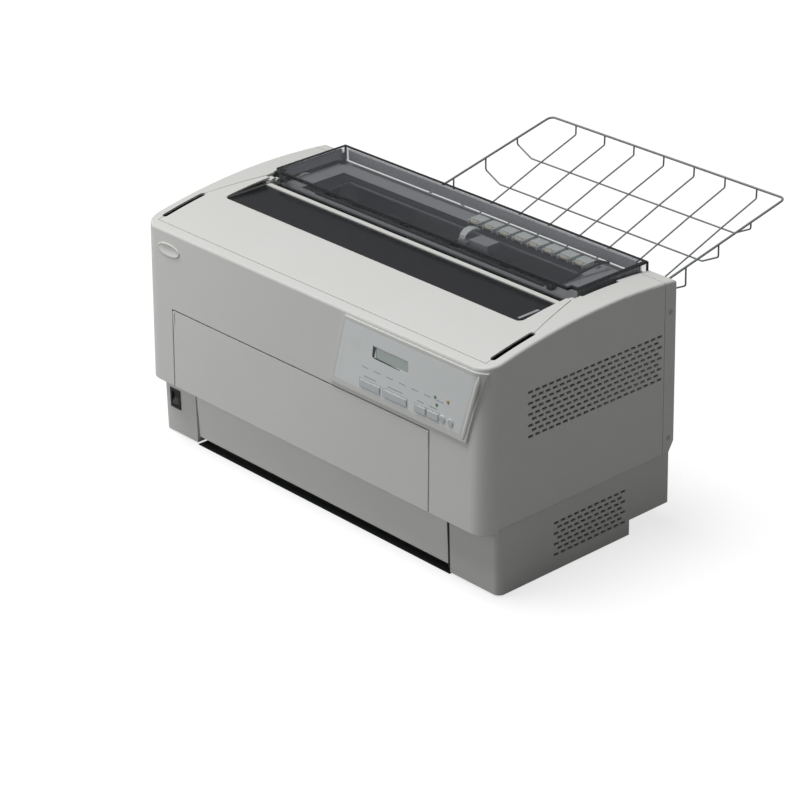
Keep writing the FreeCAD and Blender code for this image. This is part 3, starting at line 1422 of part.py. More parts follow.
# Control panel
slant = "panel_slant"
panel_points = [
    ("panel_left_foot", "panel_low"),
    ("panel_right_foot", "panel_low"),
    (f"panel_right_foot + {slant}", "panel_high"),
    (f"panel_left_foot + {slant}", "panel_high"),
]
panel_up = ("panel_low - overrun", "panel_high + overrun")
deep_back = ("-2 * overrun", "5 * overrun")
panel_side = ("0", half)
panel_form = front_outline("panel_form", panel_points, deep_back)
panel_skin = casing_form("panel_skin", "-panel_proud")
overlay_seat = casing_form("overlay_seat", "overlay_thick - panel_proud")
panel_blank = cut("panel_blank", meet("panel_cover", panel_form, panel_skin), upper_form)
key_up = ("key_row_up", "key_row_up + key_height")
key_holes = [block(f"{key}_hole", (f"{key}_left - play", f"{key}_right + play"), deep_back,
                   (f"{key_up[0]} - play", f"{key_up[1]} + play")) for key in keys]
display_side = ("display_left", "display_left + display_width")
display_up = ("display_low", "display_low + display_height")
display_hole = block("display_hole", display_side, deep_back, display_up)
overlay_points = [
    ("panel_left_foot + panel_margin", "panel_low + panel_margin"),
    ("panel_right_foot - panel_ridge", "panel_low + panel_margin"),
    (f"panel_right_foot + {slant} - panel_ridge", "panel_high - panel_margin / 2"),
    (f"panel_left_foot + {slant} + panel_margin / 4", "panel_high - panel_margin / 2"),
]
overlay_form = front_outline("overlay_form", overlay_points, deep_back)
overlay_recess = cut("overlay_recess", overlay_form, overlay_seat)
node("control_panel", cut("panel", panel_blank, overlay_recess, display_hole, *key_holes))
overlay_sheet = meet("overlay_sheet", overlay_recess, panel_skin)
node("panel_overlay", cut("overlay", overlay_sheet, display_hole, *key_holes))
node("display_window", meet("display_pane", block("display_form", display_side, deep_back, display_up),
                            leaning("display_slab", panel_side, panel_up, "panel_proud - overlay_thick",
                                    "0")))
for key in keys:
    cap = meet(key + "_cap", block(key + "_form", (f"{key}_left", f"{key}_right"), deep_back, key_up),
               leaning(key + "_slab", panel_side, panel_up, "panel_proud + key_proud", "key_depth"))
    flange = meet(key + "_flange", block(key + "_flange_form",
                                         (f"{key}_left - key_flange / 2",
                                          f"{key}_right + key_flange / 2"), deep_back,
                                         (f"{key_up[0]} - key_flange", f"{key_up[1]} + key_flange")),
                  leaning(key + "_flange_slab", panel_side, panel_up, "-play", "key_depth"))
    node(key, join(key + "_solid", cap, flange))

# Top cover
top_back = ("top_front_back", "rail_rear_back")
top_band = cut("top_band", arch("top_band_outside", all_sides, top_back),
               arch("top_band_inside", all_sides, top_back, "top_wall"))
top_points = [
    ("-top_side", "top_front_back"),
    ("top_side", "top_front_back"),
    ("top_side", "top_bend_back"),
    ("top_rear_side", "top_rear_back"),
    ("-top_rear_side", "top_rear_back"),
    ("-top_side", "top_bend_back"),
]
window_span = ("-window_side", "window_side")
window_back = ("window_front_back", "window_rear_back")
window_floor = "window_top - window_thick"
top_skin = meet("top_skin", plan_outline("top_form", top_points, open_up), top_band)
tray = block("window_tray", ("-window_side - top_wall", "window_side + top_wall"),
             ("window_front_back - top_wall", "rail_rear_back"),
             (f"{window_floor} - top_wall", roof("window_front_back", "top_wall / 2")))
window_hole = block("window_hole", window_span, window_back, (window_floor, "crown_top + overrun"))
window_light = block("window_light", around("0", "window_side - window_ledge"),
                     ("window_front_back + window_ledge", "window_rear_back - window_ledge"), open_up)
rail_trim = block("rail_trim", window_span, ("window_rear_back - overrun / 2", "rail_rear_back + overrun"),
                  ("rail_top", "crown_top + overrun"))
end_trim = block("end_trim", all_sides, ("rail_rear_back", "top_rear_back + overrun"), open_up)
top_parts = [top_skin, tray]
for way, hand in ((-1, "left"), (1, "right")):
    span = sided(way, "top_rear_side - knuckle_length", "top_rear_side")
    top_parts.append(block(f"{hand}_top_arm", span, ("rail_front_back", "top_hinge_back"),
                           ("top_hinge_up - top_knuckle", "rail_top")))
top_solid = cut("top_trimmed", join("top_solid", *top_parts), window_hole, window_light, rail_trim, *slots)
top_knuckles = [rod(f"{hand}_top_knuckle", "side", top_pin_spot,
                    sided(way, "top_rear_side - knuckle_length", "top_rear_side"), "top_knuckle")
                for way, hand in ((-1, "left"), (1, "right"))]
top_holes = [rod(f"top_pin_hole_{index}", "side", spot, span, "pin_radius + shaft_play")
             for index, (spot, span) in enumerate(pin_list) if spot == top_pin_spot]
node("top_cover", cut("top_drilled", join("top_with_knuckles", top_solid, *top_knuckles), *top_holes))
node("top_cover_window", block("window_plate", window_span, window_back, (window_floor, "window_top")))

# Paper exit lid
lid_back = ("lid_front_back", "lid_rear_back")
notch = "lid_notch_side"
lid_points = [
    (f"-{notch}", "lid_front_back"),
    (notch, "lid_front_back"),
    (notch, "lid_notch_back"),
    ("lid_side", "lid_notch_back"),
    ("lid_side", "lid_rear_back"),
    ("-lid_side", "lid_rear_back"),
    ("-lid_side", "lid_notch_back"),
    (f"-{notch}", "lid_notch_back"),
]
lid_hollow = [
    (f"-{notch} + lid_wall", "lid_front_back + lid_wall"),
    (f"{notch} - lid_wall", "lid_front_back + lid_wall"),
    (f"{notch} - lid_wall", "lid_notch_back + lid_wall"),
    ("lid_side - lid_wall", "lid_notch_back + lid_wall"),
    ("lid_side - lid_wall", "lid_rear_back - lid_wall"),
    ("-lid_side + lid_wall", "lid_rear_back - lid_wall"),
    ("-lid_side + lid_wall", "lid_notch_back + lid_wall"),
    (f"-{notch} + lid_wall", "lid_notch_back + lid_wall"),
]
lid_form = plan_outline("lid_form", lid_points, ("lid_low", "lid_top"))
soften(lid_form, "lid_corner", lambda edge, bounds: is_upright(edge) and (
    edge.CenterOfMass.y < bounds.YMin + amount("play") or edge.CenterOfMass.y > bounds.YMax - amount("play")))
lid_inside = plan_outline("lid_inside", lid_hollow, ("lid_low - overrun", "lid_top - lid_wall"))
bricks = []
for row in range(int(amount("lid_brick_rows"))):
    low = f"lid_low + {2 * row + 1} * lid_brick_height + lid_wall / 2"
    each_way = int(amount(f"{notch} / lid_brick_pitch - 1"))
    for index in range(-each_way, each_way + 1):
        middle = f"({index} + {row} / 2 - 1 / 4) * lid_brick_pitch"
        bricks.append(block(f"lid_brick_{row}_{index}", around(middle, "lid_brick_length / 2"),
                            ("lid_front_back - overrun", "lid_front_back + lid_brick_depth"),
                            (low, f"{low} + lid_brick_height")))
lid_knuckles = []
for way, hand in ((-1, "left"), (1, "right")):
    span = sided(way, "lid_side - knuckle_length", "lid_side")
    lid_knuckles.append(rod(f"{hand}_lid_knuckle", "side", lid_pin_spot, span, "lid_knuckle"))
    lid_knuckles.append(block(f"{hand}_lid_web", span, around("lid_hinge_back", "lid_knuckle"),
                              ("lid_hinge_up", "lid_top - lid_wall / 2")))
lid_holes = [rod(f"lid_pin_hole_{index}", "side", spot, span, "pin_radius + shaft_play")
             for index, (spot, span) in enumerate(pin_list) if spot == lid_pin_spot]
lid_shell = cut("lid_shell", lid_form, lid_inside, *bricks)
node("exit_lid", cut("lid_drilled", join("lid_solid", lid_shell, *lid_knuckles), *lid_holes))

# Wire rack


def bent_wire(points, radius, bend):
    # a round wire through points, each corner replaced by an arc
    spots = [FreeCAD.Vector(*point) for point in points]
    edges = []
    start = spots[0]
    for index in range(1, len(spots) - 1):
        before = (spots[index - 1] - spots[index]).normalize()
        after = (spots[index + 1] - spots[index]).normalize()
        half_angle = before.getAngle(after) / 2
        reach = bend / math.tan(half_angle)
        enter, leave = spots[index] + before * reach, spots[index] + after * reach
        heart = spots[index] + (before + after).normalize() * (bend / math.sin(half_angle))
        top = heart + (spots[index] - heart).normalize() * bend
        edges.append(Part.makeLine(start, enter))
        edges.append(Part.Arc(enter, top, leave).toShape())
        start = leave
    edges.append(Part.makeLine(start, spots[-1]))
    ring = Part.Wire([Part.makeCircle(radius, spots[0], spots[1] - spots[0])])
    return Part.Wire(edges).makePipeShell([ring], True, False)


base_y = amount(front)
reach_back = amount("case_depth + rack_reach - rack_wire")
rail_start = amount("case_depth + rack_wire")
rise = amount("(rack_high - rack_low) / (rack_reach - 2 * rack_wire)")
wide = amount("rack_side")
low, high = amount("rack_low"), amount("rack_high")
thick, thin, bend = amount("rack_wire"), amount("rack_thin_wire"), amount("rack_bend")
weld = amount("rack_weld")


def at(side, back, up):
    return (side, base_y + back, up)


stub = amount("case_depth - rack_stub")
frame_wire = bent_wire([at(-wide, stub, low), at(-wide, rail_start, low), at(-wide, reach_back, high),
                        at(wide, reach_back, high), at(wide, rail_start, low), at(wide, stub, low)], thick,
                        bend)
wires = [frame_wire]
floors = []
for index in range(int(amount("rack_cross_wires"))):
    back = reach_back - amount("rack_cross_first") - index * amount("rack_cross_gap")
    rail_up = low + (back - rail_start) * rise
    floor_up = rail_up - amount("rack_drop") - index * amount("rack_drop_gain")
    inset = amount("rack_drop_inset")
    floors.append((back, floor_up))
    wires.append(bent_wire([at(-wide, back, rail_up), at(-wide, back, floor_up + inset / 2),
                            at(-wide + inset, back, floor_up),
                            at(wide - inset, back, floor_up), at(wide, back, floor_up + inset / 2),
                            at(wide, back, rail_up)], thin, bend / 2))
count = int(amount("rack_wires"))
for index in range(count):
    side = (index - (count - 1) / 2) * amount("rack_wire_pitch")
    lift = 2 * thin - weld
    first_back, first_up = floors[0]
    last_back, last_up = floors[-1]
    tail = amount("rack_tail")
    slope = (first_up - last_up) / (first_back - last_back)
    path = [at(side, reach_back, high), at(side, reach_back - weld, high - amount("rack_long_drop")),
            at(side, first_back, first_up + lift), at(side, last_back - tail, last_up + lift - slope * tail)]
    wires.append(bent_wire(path, thin, bend / 3))
rack = wires[0].fuse(wires[1:])
node("wire_rack", solid("rack", rack))

doc.recompute()
failed = [item.Name for item in doc.Objects if "Invalid" in item.State or "Error" in item.State]
if failed:
    raise RuntimeError("these objects failed: " + ", ".join(failed))
os.makedirs("parts", exist_ok=True)
for name, item in nodes.items():
    if item.Shape.isNull() or not item.Shape.isValid():
        raise RuntimeError(name + " has no valid shape")
    item.Shape.exportStep(f"parts/{name}.step")
    bounds = item.Shape.BoundBox
    print(name, len(item.Shape.Solids), bounds)
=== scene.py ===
import math

import bmesh
import bpy
from mathutils import Matrix, Vector


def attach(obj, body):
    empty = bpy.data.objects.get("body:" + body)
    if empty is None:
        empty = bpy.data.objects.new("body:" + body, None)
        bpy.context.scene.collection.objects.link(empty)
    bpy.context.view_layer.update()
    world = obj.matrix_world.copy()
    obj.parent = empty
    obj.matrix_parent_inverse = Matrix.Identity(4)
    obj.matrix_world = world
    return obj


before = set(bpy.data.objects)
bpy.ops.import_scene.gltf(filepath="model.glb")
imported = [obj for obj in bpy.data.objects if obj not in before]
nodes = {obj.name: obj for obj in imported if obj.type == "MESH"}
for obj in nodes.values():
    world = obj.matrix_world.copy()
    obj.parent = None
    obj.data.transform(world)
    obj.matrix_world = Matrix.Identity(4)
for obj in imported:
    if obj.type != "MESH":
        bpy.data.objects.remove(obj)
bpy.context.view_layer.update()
print("frame loaded:", len(nodes), "solids")

mm = 0.001
frontFace = -348  # y of the front face's foot, in mm


def colour(hexCode):
    # sRGB hex to linear
    channels = [int(hexCode[i:i + 2], 16) / 255 for i in (1, 3, 5)]
    return tuple(c / 12.92 if c <= 0.04045 else ((c + 0.055) / 1.055) ** 2.4 for c in channels) + (1.0,)


# Camera, solved from the straight edges of the case
cameraSetup = {
    "place": (2.75182, -2.607949, 1.900821),
    "azimuth": 48.547,
    "elevation": 25.934,
    "roll": -1.385,
    "lens": 132.99,
    "sensor": 36,
    "clipEnd": 50,
}


def aimCamera(setup):
    turn, lift, roll = [math.radians(setup[key]) for key in ("azimuth", "elevation", "roll")]
    forward = Vector((-math.sin(turn) * math.cos(lift), math.cos(turn) * math.cos(lift), -math.sin(lift)))
    right = Vector((math.cos(turn), math.sin(turn), 0))
    up = right.cross(forward)
    tiltedRight = right * math.cos(roll) + up * math.sin(roll)
    tiltedUp = up * math.cos(roll) - right * math.sin(roll)
    camera = bpy.data.objects.new("camera", bpy.data.cameras.new("camera"))
    bpy.context.scene.collection.objects.link(camera)
    camera.data.lens = setup["lens"]
    camera.data.sensor_width = setup["sensor"]
    camera.data.clip_end = setup["clipEnd"]
    rotation = Matrix((tiltedRight, tiltedUp, -forward)).transposed()
    camera.matrix_world = Matrix.Translation(setup["place"]) @ rotation.to_4x4()
    bpy.context.scene.camera = camera


aimCamera(cameraSetup)
print("camera placed")


# Materials
def newMaterial(name):
    material = bpy.data.materials.new(name)
    material.use_nodes = True
    material.node_tree.nodes.clear()
    return material


def addNode(owner, kind, settings=None, links=None):
    # a node with its properties or socket values, and the sockets that feed it
    node = owner.node_tree.nodes.new("ShaderNode" + kind)
    for key, value in (settings or {}).items():
        if isinstance(key, int) or key in node.inputs:
            node.inputs[key].default_value = value
        else:
            setattr(node, key, value)
    for key, source in (links or {}).items():
        owner.node_tree.links.new(source, node.inputs[key])
    return node


def finishMaterial(material, shader):
    addNode(material, "OutputMaterial", links={"Surface": shader.outputs[0]})
    return material


def mouldedPlastic(name, look):
    # injection-moulded: a spark-eroded tool leaves a fine even grain, and the colour drifts very slightly
    material = newMaterial(name)
    place = addNode(material, "TexCoord").outputs["Object"]
    drift = addNode(material, "TexNoise", {
        "Scale": 1 / (look["driftSize"] * mm), "Detail": look["driftDetail"]}, {"Vector": place})
    tint = addNode(material, "Mix", {
        "data_type": "RGBA", 6: colour(look["colour"]), 7: colour(look["drift"])}, {0: drift.outputs["Fac"]})
    grain = addNode(material, "TexNoise", {
        "Scale": 1 / (look["grainSize"] * mm), "Detail": look["grainDetail"],
        "Roughness": look["grainBite"]}, {"Vector": place})
    gloss = addNode(material, "MapRange", {
        "To Min": look["roughness"] - look["glossSwing"],
        "To Max": look["roughness"] + look["glossSwing"]}, {"Value": grain.outputs["Fac"]})
    softEdge = addNode(material, "Bevel", {"Radius": look["edge"] * mm, "samples": look["edgeSamples"]})
    relief = addNode(material, "Bump", {"Strength": look["relief"], "Distance": look["grainDepth"] * mm},
                     {"Height": grain.outputs["Fac"], "Normal": softEdge.outputs[0]})
    shader = addNode(material, "BsdfPrincipled", {"IOR": look["ior"]}, {
        "Base Color": tint.outputs[2], "Roughness": gloss.outputs[0], "Normal": relief.outputs[0]})
    return finishMaterial(material, shader)


# ABS, moulded: matt light grey, the grain only shows as a soft sheen; sizes in mm
caseLook = {
    "colour": "#D9DAD7",
    "drift": "#D5D6D2",
    "driftSize": 60,
    "driftDetail": 3.0,
    "grainSize": 0.9,  # coarser than the real grain, which would be too fine to show
    "grainDetail": 2.0,
    "grainBite": 0.6,
    "grainDepth": 0.05,
    "relief": 0.35,
    "roughness": 0.5,
    "glossSwing": 0.06,
    "ior": 1.54,
    "edge": 0.9,
    "edgeSamples": 4,
}
caseAbs = mouldedPlastic("lightGreyMouldedAbs", caseLook)

# the same plastic with more pigment and a duller grain: the lower shell looks a shade greyer
baseLook = {**caseLook, "colour": "#D0D1CE", "drift": "#CCCDC9", "roughness": 0.55}
baseAbs = mouldedPlastic("midGreyMouldedAbs", baseLook)

# the case's plastic painted paler than the case: painted light that lifts the shade the case's overhang casts
# on the lip, with the same sheen
lipPaintedLightLook = {**caseLook, "colour": "#E3E4E1", "drift": "#DFE0DC"}
lipPaintedLightAbs = mouldedPlastic("lipAbsPaintedLight", lipPaintedLightLook)

# small mouldings from a smoother tool: a tighter highlight and crisper edges
keyLook = {**caseLook, "colour": "#CDD1D2", "drift": "#C8CDCE", "roughness": 0.42, "edge": 0.5}
keyAbs = mouldedPlastic("keyMouldedAbs", keyLook)

# coloured through with carbon black: near black, with a soft sheen
blackLook = {**caseLook, "colour": "#1B1C1E", "drift": "#202124", "roughness": 0.42, "edge": 0.4}
blackAbs = mouldedPlastic("blackMouldedAbs", blackLook)

# a flat moulding in mid grey: matt, so that the pale works stand out on it under the lid
deckLook = {**blackLook, "colour": "#9DA0A3", "drift": "#A5A7AA", "roughness": 0.5}
deckAbs = mouldedPlastic("deckMouldedAbs", deckLook)


def polishedPlastic(name, look):
    # pressed against a polished tool: clear reflections, a trace of dust and wipe marks in the gloss
    material = newMaterial(name)
    place = addNode(material, "TexCoord").outputs["Object"]
    wipe = addNode(material, "TexNoise", {
        "Scale": 1 / (look["wipeSize"] * mm), "Detail": look["wipeDetail"]}, {"Vector": place})
    gloss = addNode(material, "MapRange", {
        "To Min": look["roughness"],
        "To Max": look["roughness"] + look["haze"]}, {"Value": wipe.outputs["Fac"]})
    tint = addNode(material, "Mix", {
        "data_type": "RGBA", 6: colour(look["colour"]), 7: colour(look["drift"])}, {0: wipe.outputs["Fac"]})
    shader = addNode(material, "BsdfPrincipled", {"IOR": look["ior"], "Alpha": look["alpha"]},
                     {"Base Color": tint.outputs[2], "Roughness": gloss.outputs[0]})
    return finishMaterial(material, shader)


# polycarbonate, smoked: dark and glossy, the works under it still show
smokedLook = {
    "colour": "#54575D",
    "drift": "#606369",
    "wipeSize": 18,
    "wipeDetail": 4.0,
    "roughness": 0.08,
    "haze": 0.1,
    "ior": 1.585,
    "alpha": 0.2,
}
smokedPolycarbonate = polishedPlastic("smokedPolycarbonate", smokedLook)

# acrylic, coloured through and polished: opaque, near black, with a soft reflection of the room
darkStripLook = {**smokedLook, "colour": "#1B1C1F", "drift": "#242529", "alpha": 1.0, "roughness": 0.14}
darkAcrylic = polishedPlastic("darkPolishedAcrylic", darkStripLook)

# acrylic over a display that is off: smooth, pale and slightly green
lensLook = {**darkStripLook, "colour": "#BCC6C2", "drift": "#B5C0BC", "roughness": 0.16}
displayLens = polishedPlastic("displayLensAcrylic", lensLook)

# polyester overlay film, screen-printed: smooth with a low sheen
filmLook = {
    "colour": "#E6E9E9",
    "drift": "#E1E5E5",
    "wipeSize": 30,
    "wipeDetail": 4.0,
    "roughness": 0.34,
    "haze": 0.08,
    "ior": 1.6,
    "alpha": 1.0,
}
overlayFilm = polishedPlastic("printedPolyesterFilm", filmLook)

# screen-printed inks: flat even colours that share the film's sheen
inkWhite = polishedPlastic("whiteFilmInk", {**filmLook, "colour": "#E4E8E6", "drift": "#DDE2E0"})
inkBlue = polishedPlastic("blueGreyFilmInk", {**filmLook, "colour": "#A3A9B2", "drift": "#A9AFB7"})
inkDark = polishedPlastic("darkFilmInk", {**filmLook, "colour": "#33393B", "drift": "#3B4143"})

# tinted acrylic caps of lamps that are off: dull colours under a glossy skin
lampLook = {**filmLook, "roughness": 0.12}
lampGreen = polishedPlastic("lampGreenAcrylic", {**lampLook, "colour": "#5F8A6B", "drift": "#678F72"})
lampAmber = polishedPlastic("lampAmberAcrylic", {**lampLook, "colour": "#B08A4B", "drift": "#B59254"})


def workedMetal(name, look):
    # drawn or ground: fine lines in the surface stretch the highlight
    material = newMaterial(name)
    place = addNode(material, "TexCoord").outputs["Object"]
    lines = addNode(material, "Mapping", {"Scale": look["lineScale"]}, {"Vector": place})
    streak = addNode(material, "TexNoise", {
        "Scale": 1 / (look["lineWidth"] * mm), "Detail": look["lineDetail"]}, {"Vector": lines.outputs[0]})
    gloss = addNode(material, "MapRange", {
        "To Min": look["roughness"] - look["brighter"],
        "To Max": look["roughness"] + look["duller"]}, {"Value": streak.outputs["Fac"]})
    relief = addNode(material, "Bump", {"Strength": look["relief"], "Distance": look["lineDepth"] * mm},
                     {"Height": streak.outputs["Fac"]})
    shader = addNode(material, "BsdfPrincipled", {
        "Base Color": colour(look["colour"]), "Metallic": look["metallic"]},
                     {"Roughness": gloss.outputs[0], "Normal": relief.outputs[0]})
    return finishMaterial(material, shader)


# sheet, rolled and zinc-plated: pale, with cloudy soft reflections
zincLook = {
    "colour": "#B9BBBC",
    "metallic": 1.0,
    "roughness": 0.38,
    "brighter": 0.07,
    "duller": 0.1,
    "lineWidth": 2.0,
    "lineDetail": 3.0,
    "lineScale": (1, 1, 1),
    "lineDepth": 0.02,
    "relief": 0.25,
}
zincPlate = workedMetal("zincPlatedSheet", zincLook)

# rods, ground between wheels: bright, with fine rings round them
groundLook = {
    **zincLook,
    "colour": "#C6C7C9",
    "roughness": 0.2,
    "lineWidth": 0.6,
    "lineScale": (1, 0.08, 0.08),
}
groundSteel = workedMetal("centrelessGroundSteel", groundLook)

# steel wire dipped in nylon: a grey skin with only a little metal in its shine
coatedLook = {**zincLook, "colour": "#8E9093", "metallic": 0.25, "roughness": 0.45, "lineWidth": 1.2}
coatedWire = workedMetal("nylonDippedSteelWire", coatedLook)

# die-cast and left bare: dull, with a fine mottle
castLook = {**zincLook, "colour": "#A6A8AA", "roughness": 0.48, "lineWidth": 0.9}
castAlloy = workedMetal("dieCastAluminium", castLook)

# black anodised: dark with a satin shine
anodisedLook = {**zincLook, "colour": "#26272A", "metallic": 0.85, "roughness": 0.36, "lineWidth": 0.8}
anodisedAlloy = workedMetal("blackAnodisedAluminium", anodisedLook)

# cans drawn from the same sheet: darker, with the same soft shine
motorSteel = workedMetal("drawnSteelCan", {**zincLook, "colour": "#77797B"})

# rubber, vulcanised in a mould: black and almost without shine
rubberLook = {**blackLook, "colour": "#17171A", "drift": "#1D1D20", "roughness": 0.78}
rubberSheet = mouldedPlastic("mouldedNeoprene", rubberLook)

# foam, cut from a block: its open cells give a mottle of light and shade, drawn coarser than real cells,
# which would be too fine to show
foamLook = {
    **blackLook,
    "colour": "#D6D8DB",
    "drift": "#A4A7AC",
    "driftSize": 2.5,
    "grainSize": 1.6,
    "grainDepth": 0.5,
    "relief": 0.8,
    "roughness": 0.9,
}
foamSeal = mouldedPlastic("cutPolyetherFoam", foamLook)

# nylon without filler: slightly yellow and waxy, with crisp teeth
nylonLook = {**caseLook, "colour": "#D8D4C6", "drift": "#D2CEBF", "roughness": 0.4, "edge": 0.2}
nylonGear = mouldedPlastic("mouldedNylon", nylonLook)

# green lacquer cured over copper: an even colour with some gloss
maskLook = {**filmLook, "colour": "#1E5A38", "drift": "#24633F", "roughness": 0.3}
solderMask = polishedPlastic("greenSolderMask", maskLook)
print("materials made:", len(bpy.data.materials))

tractors = [f"{end}_tractor_{hand}{part}" for end in ("front", "rear") for hand in ("left", "right")
            for part in ("", "_lid")]
dressing = {
    caseAbs: ["upper_case", "rear_case", "front_cover", "top_cover", "control_panel"],
    baseAbs: ["base_case"],
    lipPaintedLightAbs: ["entry_lip"],
    smokedPolycarbonate: ["exit_lid"],
    darkAcrylic: ["top_cover_window"],
    overlayFilm: ["panel_overlay"],
    displayLens: ["display_window"],
    keyAbs: ["pause_key", "load_key", "feed_key", "menu_key"],
    deckAbs: ["exit_deck"],
    blackAbs: ["power_switch_housing", "power_switch_rocker", "fan_frame", "fan_rotor", "ac_inlet",
               "ribbon_cartridge", "ribbon_knob"] + tractors,
    rubberSheet: ["rubber_feet", "drive_belt", "feed_belt", "exit_rollers"],
    zincPlate: ["side_frame_left", "side_frame_right", "frame_stays", "carriage_bed", "power_supply",
                "interface_sockets", "case_screws"],
    groundSteel: ["guide_rods", "front_tractor_shaft", "rear_tractor_shaft", "exit_shaft", "hinge_pins",
                  "platen"],
    coatedWire: ["wire_rack"],
    solderMask: ["main_board"],
    motorSteel: ["carriage_motor", "feed_motor"],
    nylonGear: ["motor_pulley", "idler_pulley", "front_pulley", "rear_pulley", "exit_gear", "motor_pinion"],
    castAlloy: ["carriage"],
    anodisedAlloy: ["print_head"],
}
for material, dressed in dressing.items():
    for name in dressed:
        nodes[name].data.materials.clear()
        nodes[name].data.materials.append(material)
print("solids dressed:", sum(len(dressed) for dressed in dressing.values()))


# Pieces that the solids leave to the scene, each built in millimetres: side, back from the front face, up
pieceSetup = {"weld": 0.001, "sharpAngle": 38, "chamferSteps": 2, "chamferProfile": 0.7}


def newPiece(name, material, body, build):
    form = bmesh.new()
    build(form)
    bmesh.ops.remove_doubles(form, verts=form.verts, dist=pieceSetup["weld"])
    bmesh.ops.recalc_face_normals(form, faces=form.faces)
    for vertex in form.verts:
        side, back, up = vertex.co
        vertex.co = (side * mm, (frontFace + back) * mm, up * mm)
    mesh = bpy.data.meshes.new(name)
    form.to_mesh(mesh)
    form.free()
    mesh.polygons.foreach_set("use_smooth", [True] * len(mesh.polygons))
    mesh.set_sharp_from_angle(angle=math.radians(pieceSetup["sharpAngle"]))
    mesh.materials.append(material)
    piece = bpy.data.objects.new(name, mesh)
    bpy.context.scene.collection.objects.link(piece)
    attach(piece, body)


def addBlock(form, side, back, up, bevel):
    # a block with small chamfers on all its edges
    corners = [form.verts.new((x, y, z)) for x in side for y in back for z in up]
    rings = ((0, 1, 3, 2), (4, 6, 7, 5), (0, 4, 5, 1), (2, 3, 7, 6), (0, 2, 6, 4), (1, 5, 7, 3))
    faces = [form.faces.new([corners[index] for index in ring]) for ring in rings]
    edges = list({edge for face in faces for edge in face.edges})
    bmesh.ops.bevel(form, geom=edges, offset=bevel, segments=pieceSetup["chamferSteps"], affect="EDGES",
                    profile=pieceSetup["chamferProfile"])


def addBlocks(form, blocks, bevel):
    # several blocks, each as its side, back and up spans
    for side, back, up in blocks:
        addBlock(form, side, back, up, bevel)


def addLoft(form, rings, capped=True):
    # skins from ring to ring of equally many points, with both ends closed
    rows = [[form.verts.new(point) for point in ring] for ring in rings]
    count = len(rows[0])
    for low, high in zip(rows, rows[1:]):
        for index in range(count):
            after = (index + 1) % count
            form.faces.new((low[index], low[after], high[after], high[index]))
    if capped:
        form.faces.new(rows[0][::-1])
        form.faces.new(rows[-1])


def addTurned(form, centre, axis, profile, count=28):
    # a turned form: profile is a list of (distance along the axis, radius)
    directions = {"side": (0, 1, 2), "back": (1, 2, 0)}
    along, first, second = directions[axis]
    rings = []
    for distance, radius in profile:
        ring = []
        for index in range(count):
            turn = 2 * math.pi * index / count
            point = list(centre)
            point[along] += distance
            point[first] += radius * math.cos(turn)
            point[second] += radius * math.sin(turn)
            ring.append(point)
        rings.append(ring)
    addLoft(form, rings)


def addWire(form, path, radius, count=10):
    # a round wire through a list of points, its rings square to the local direction
    steep = 0.9  # from here on a stretch counts as upright
    rings = []
    turns = [2 * math.pi * turn / count for turn in range(count)]
    for index, point in enumerate(path):
        step = (path[min(index + 1, len(path) - 1)] - path[max(index - 1, 0)]).normalized()
        across = step.cross(Vector((0, 0, 1)) if abs(step.z) < steep else Vector((1, 0, 0))).normalized()
        above = across.cross(step)
        rings.append([point + radius * (across * math.cos(turn) + above * math.sin(turn)) for turn in turns])
    addLoft(form, rings)


def smoothPath(points, steps):
    # a soft curve through given points
    spots = [Vector(point) for point in points]
    spots = [2 * spots[0] - spots[1]] + spots + [2 * spots[-1] - spots[-2]]
    path = []
    for a, b, c, d in zip(spots, spots[1:], spots[2:], spots[3:]):
        for step in range(steps):
            t = step / steps
            path.append(0.5 * (2 * b + (c - a) * t + (2 * a - 5 * b + 4 * c - d) * t ** 2
                               + (3 * b - a - 3 * c + d) * t ** 3))
    return path + [spots[-2]]


# Control panel: the front face leans back from its foot
panelFace = {
    "foot": 96,
    "rise": 232.2,
    "lean": 8,
    "proud": 2.6,
    "low": 221,
    "high": 323,
    "slant": 30,  # how far the right edge runs out from the panel's low end to its high end
    "ink": (-0.05, 0.12),  # a mark reaches from just under the film to just over it
}


def panelBack(up, out):
    return panelFace["lean"] * (up - panelFace["foot"]) / panelFace["rise"] - panelFace["proud"] - out


def addMark(form, outline):
    # a thin flat mark on the panel; outline is a list of (side, up)
    addLoft(form, [[(side, panelBack(up, out), up) for side, up in outline] for out in panelFace["ink"]])


def addBar(form, side, up):
    (left, right), (low, high) = side, up
    addMark(form, [(left, low), (right, low), (right, high), (left, high)])


def addFrame(form, side, up, width):
    # a rectangular outline as four thin bars
    (left, right), (low, high) = side, up
    addBar(form, side, (low, low + width))
    addBar(form, side, (high - width, high))
    addBar(form, (left, left + width), (low + width, high - width))
    addBar(form, (right - width, right), (low + width, high - width))


panelMarks = {
    "darkMarks": (inkDark, [
        [(136.6, 282), (140.4, 281.4), (144.6, 297.4), (138.6, 298.4)],  # left of the display
        [(140, 280.6), (190, 279.6), (190, 280.8), (140, 282.4)],  # under the display
    ]),
    "paleMarks": (inkWhite, [
        [(92, 284), (112, 284), (116, 301), (96, 301)],  # a plain field
        [(66, 232), (68, 232), (91, 308), (89, 308)],  # down the slanted left edge
    ]),
}
keyMarks = {
    "keys": [(114, 151), (159, 203), (220, 239), (243, 263)],
    "keyUp": (234, 243),
    "frameReach": 2.4,
    "frameWidth": 0.6,
    "barUp": (249, 250.4),
    "dashUp": (262, 263.2),
    "dashFirst": 116,
    "dashPitch": 24,
    "dashLength": 13,
    "dashes": 7,
}


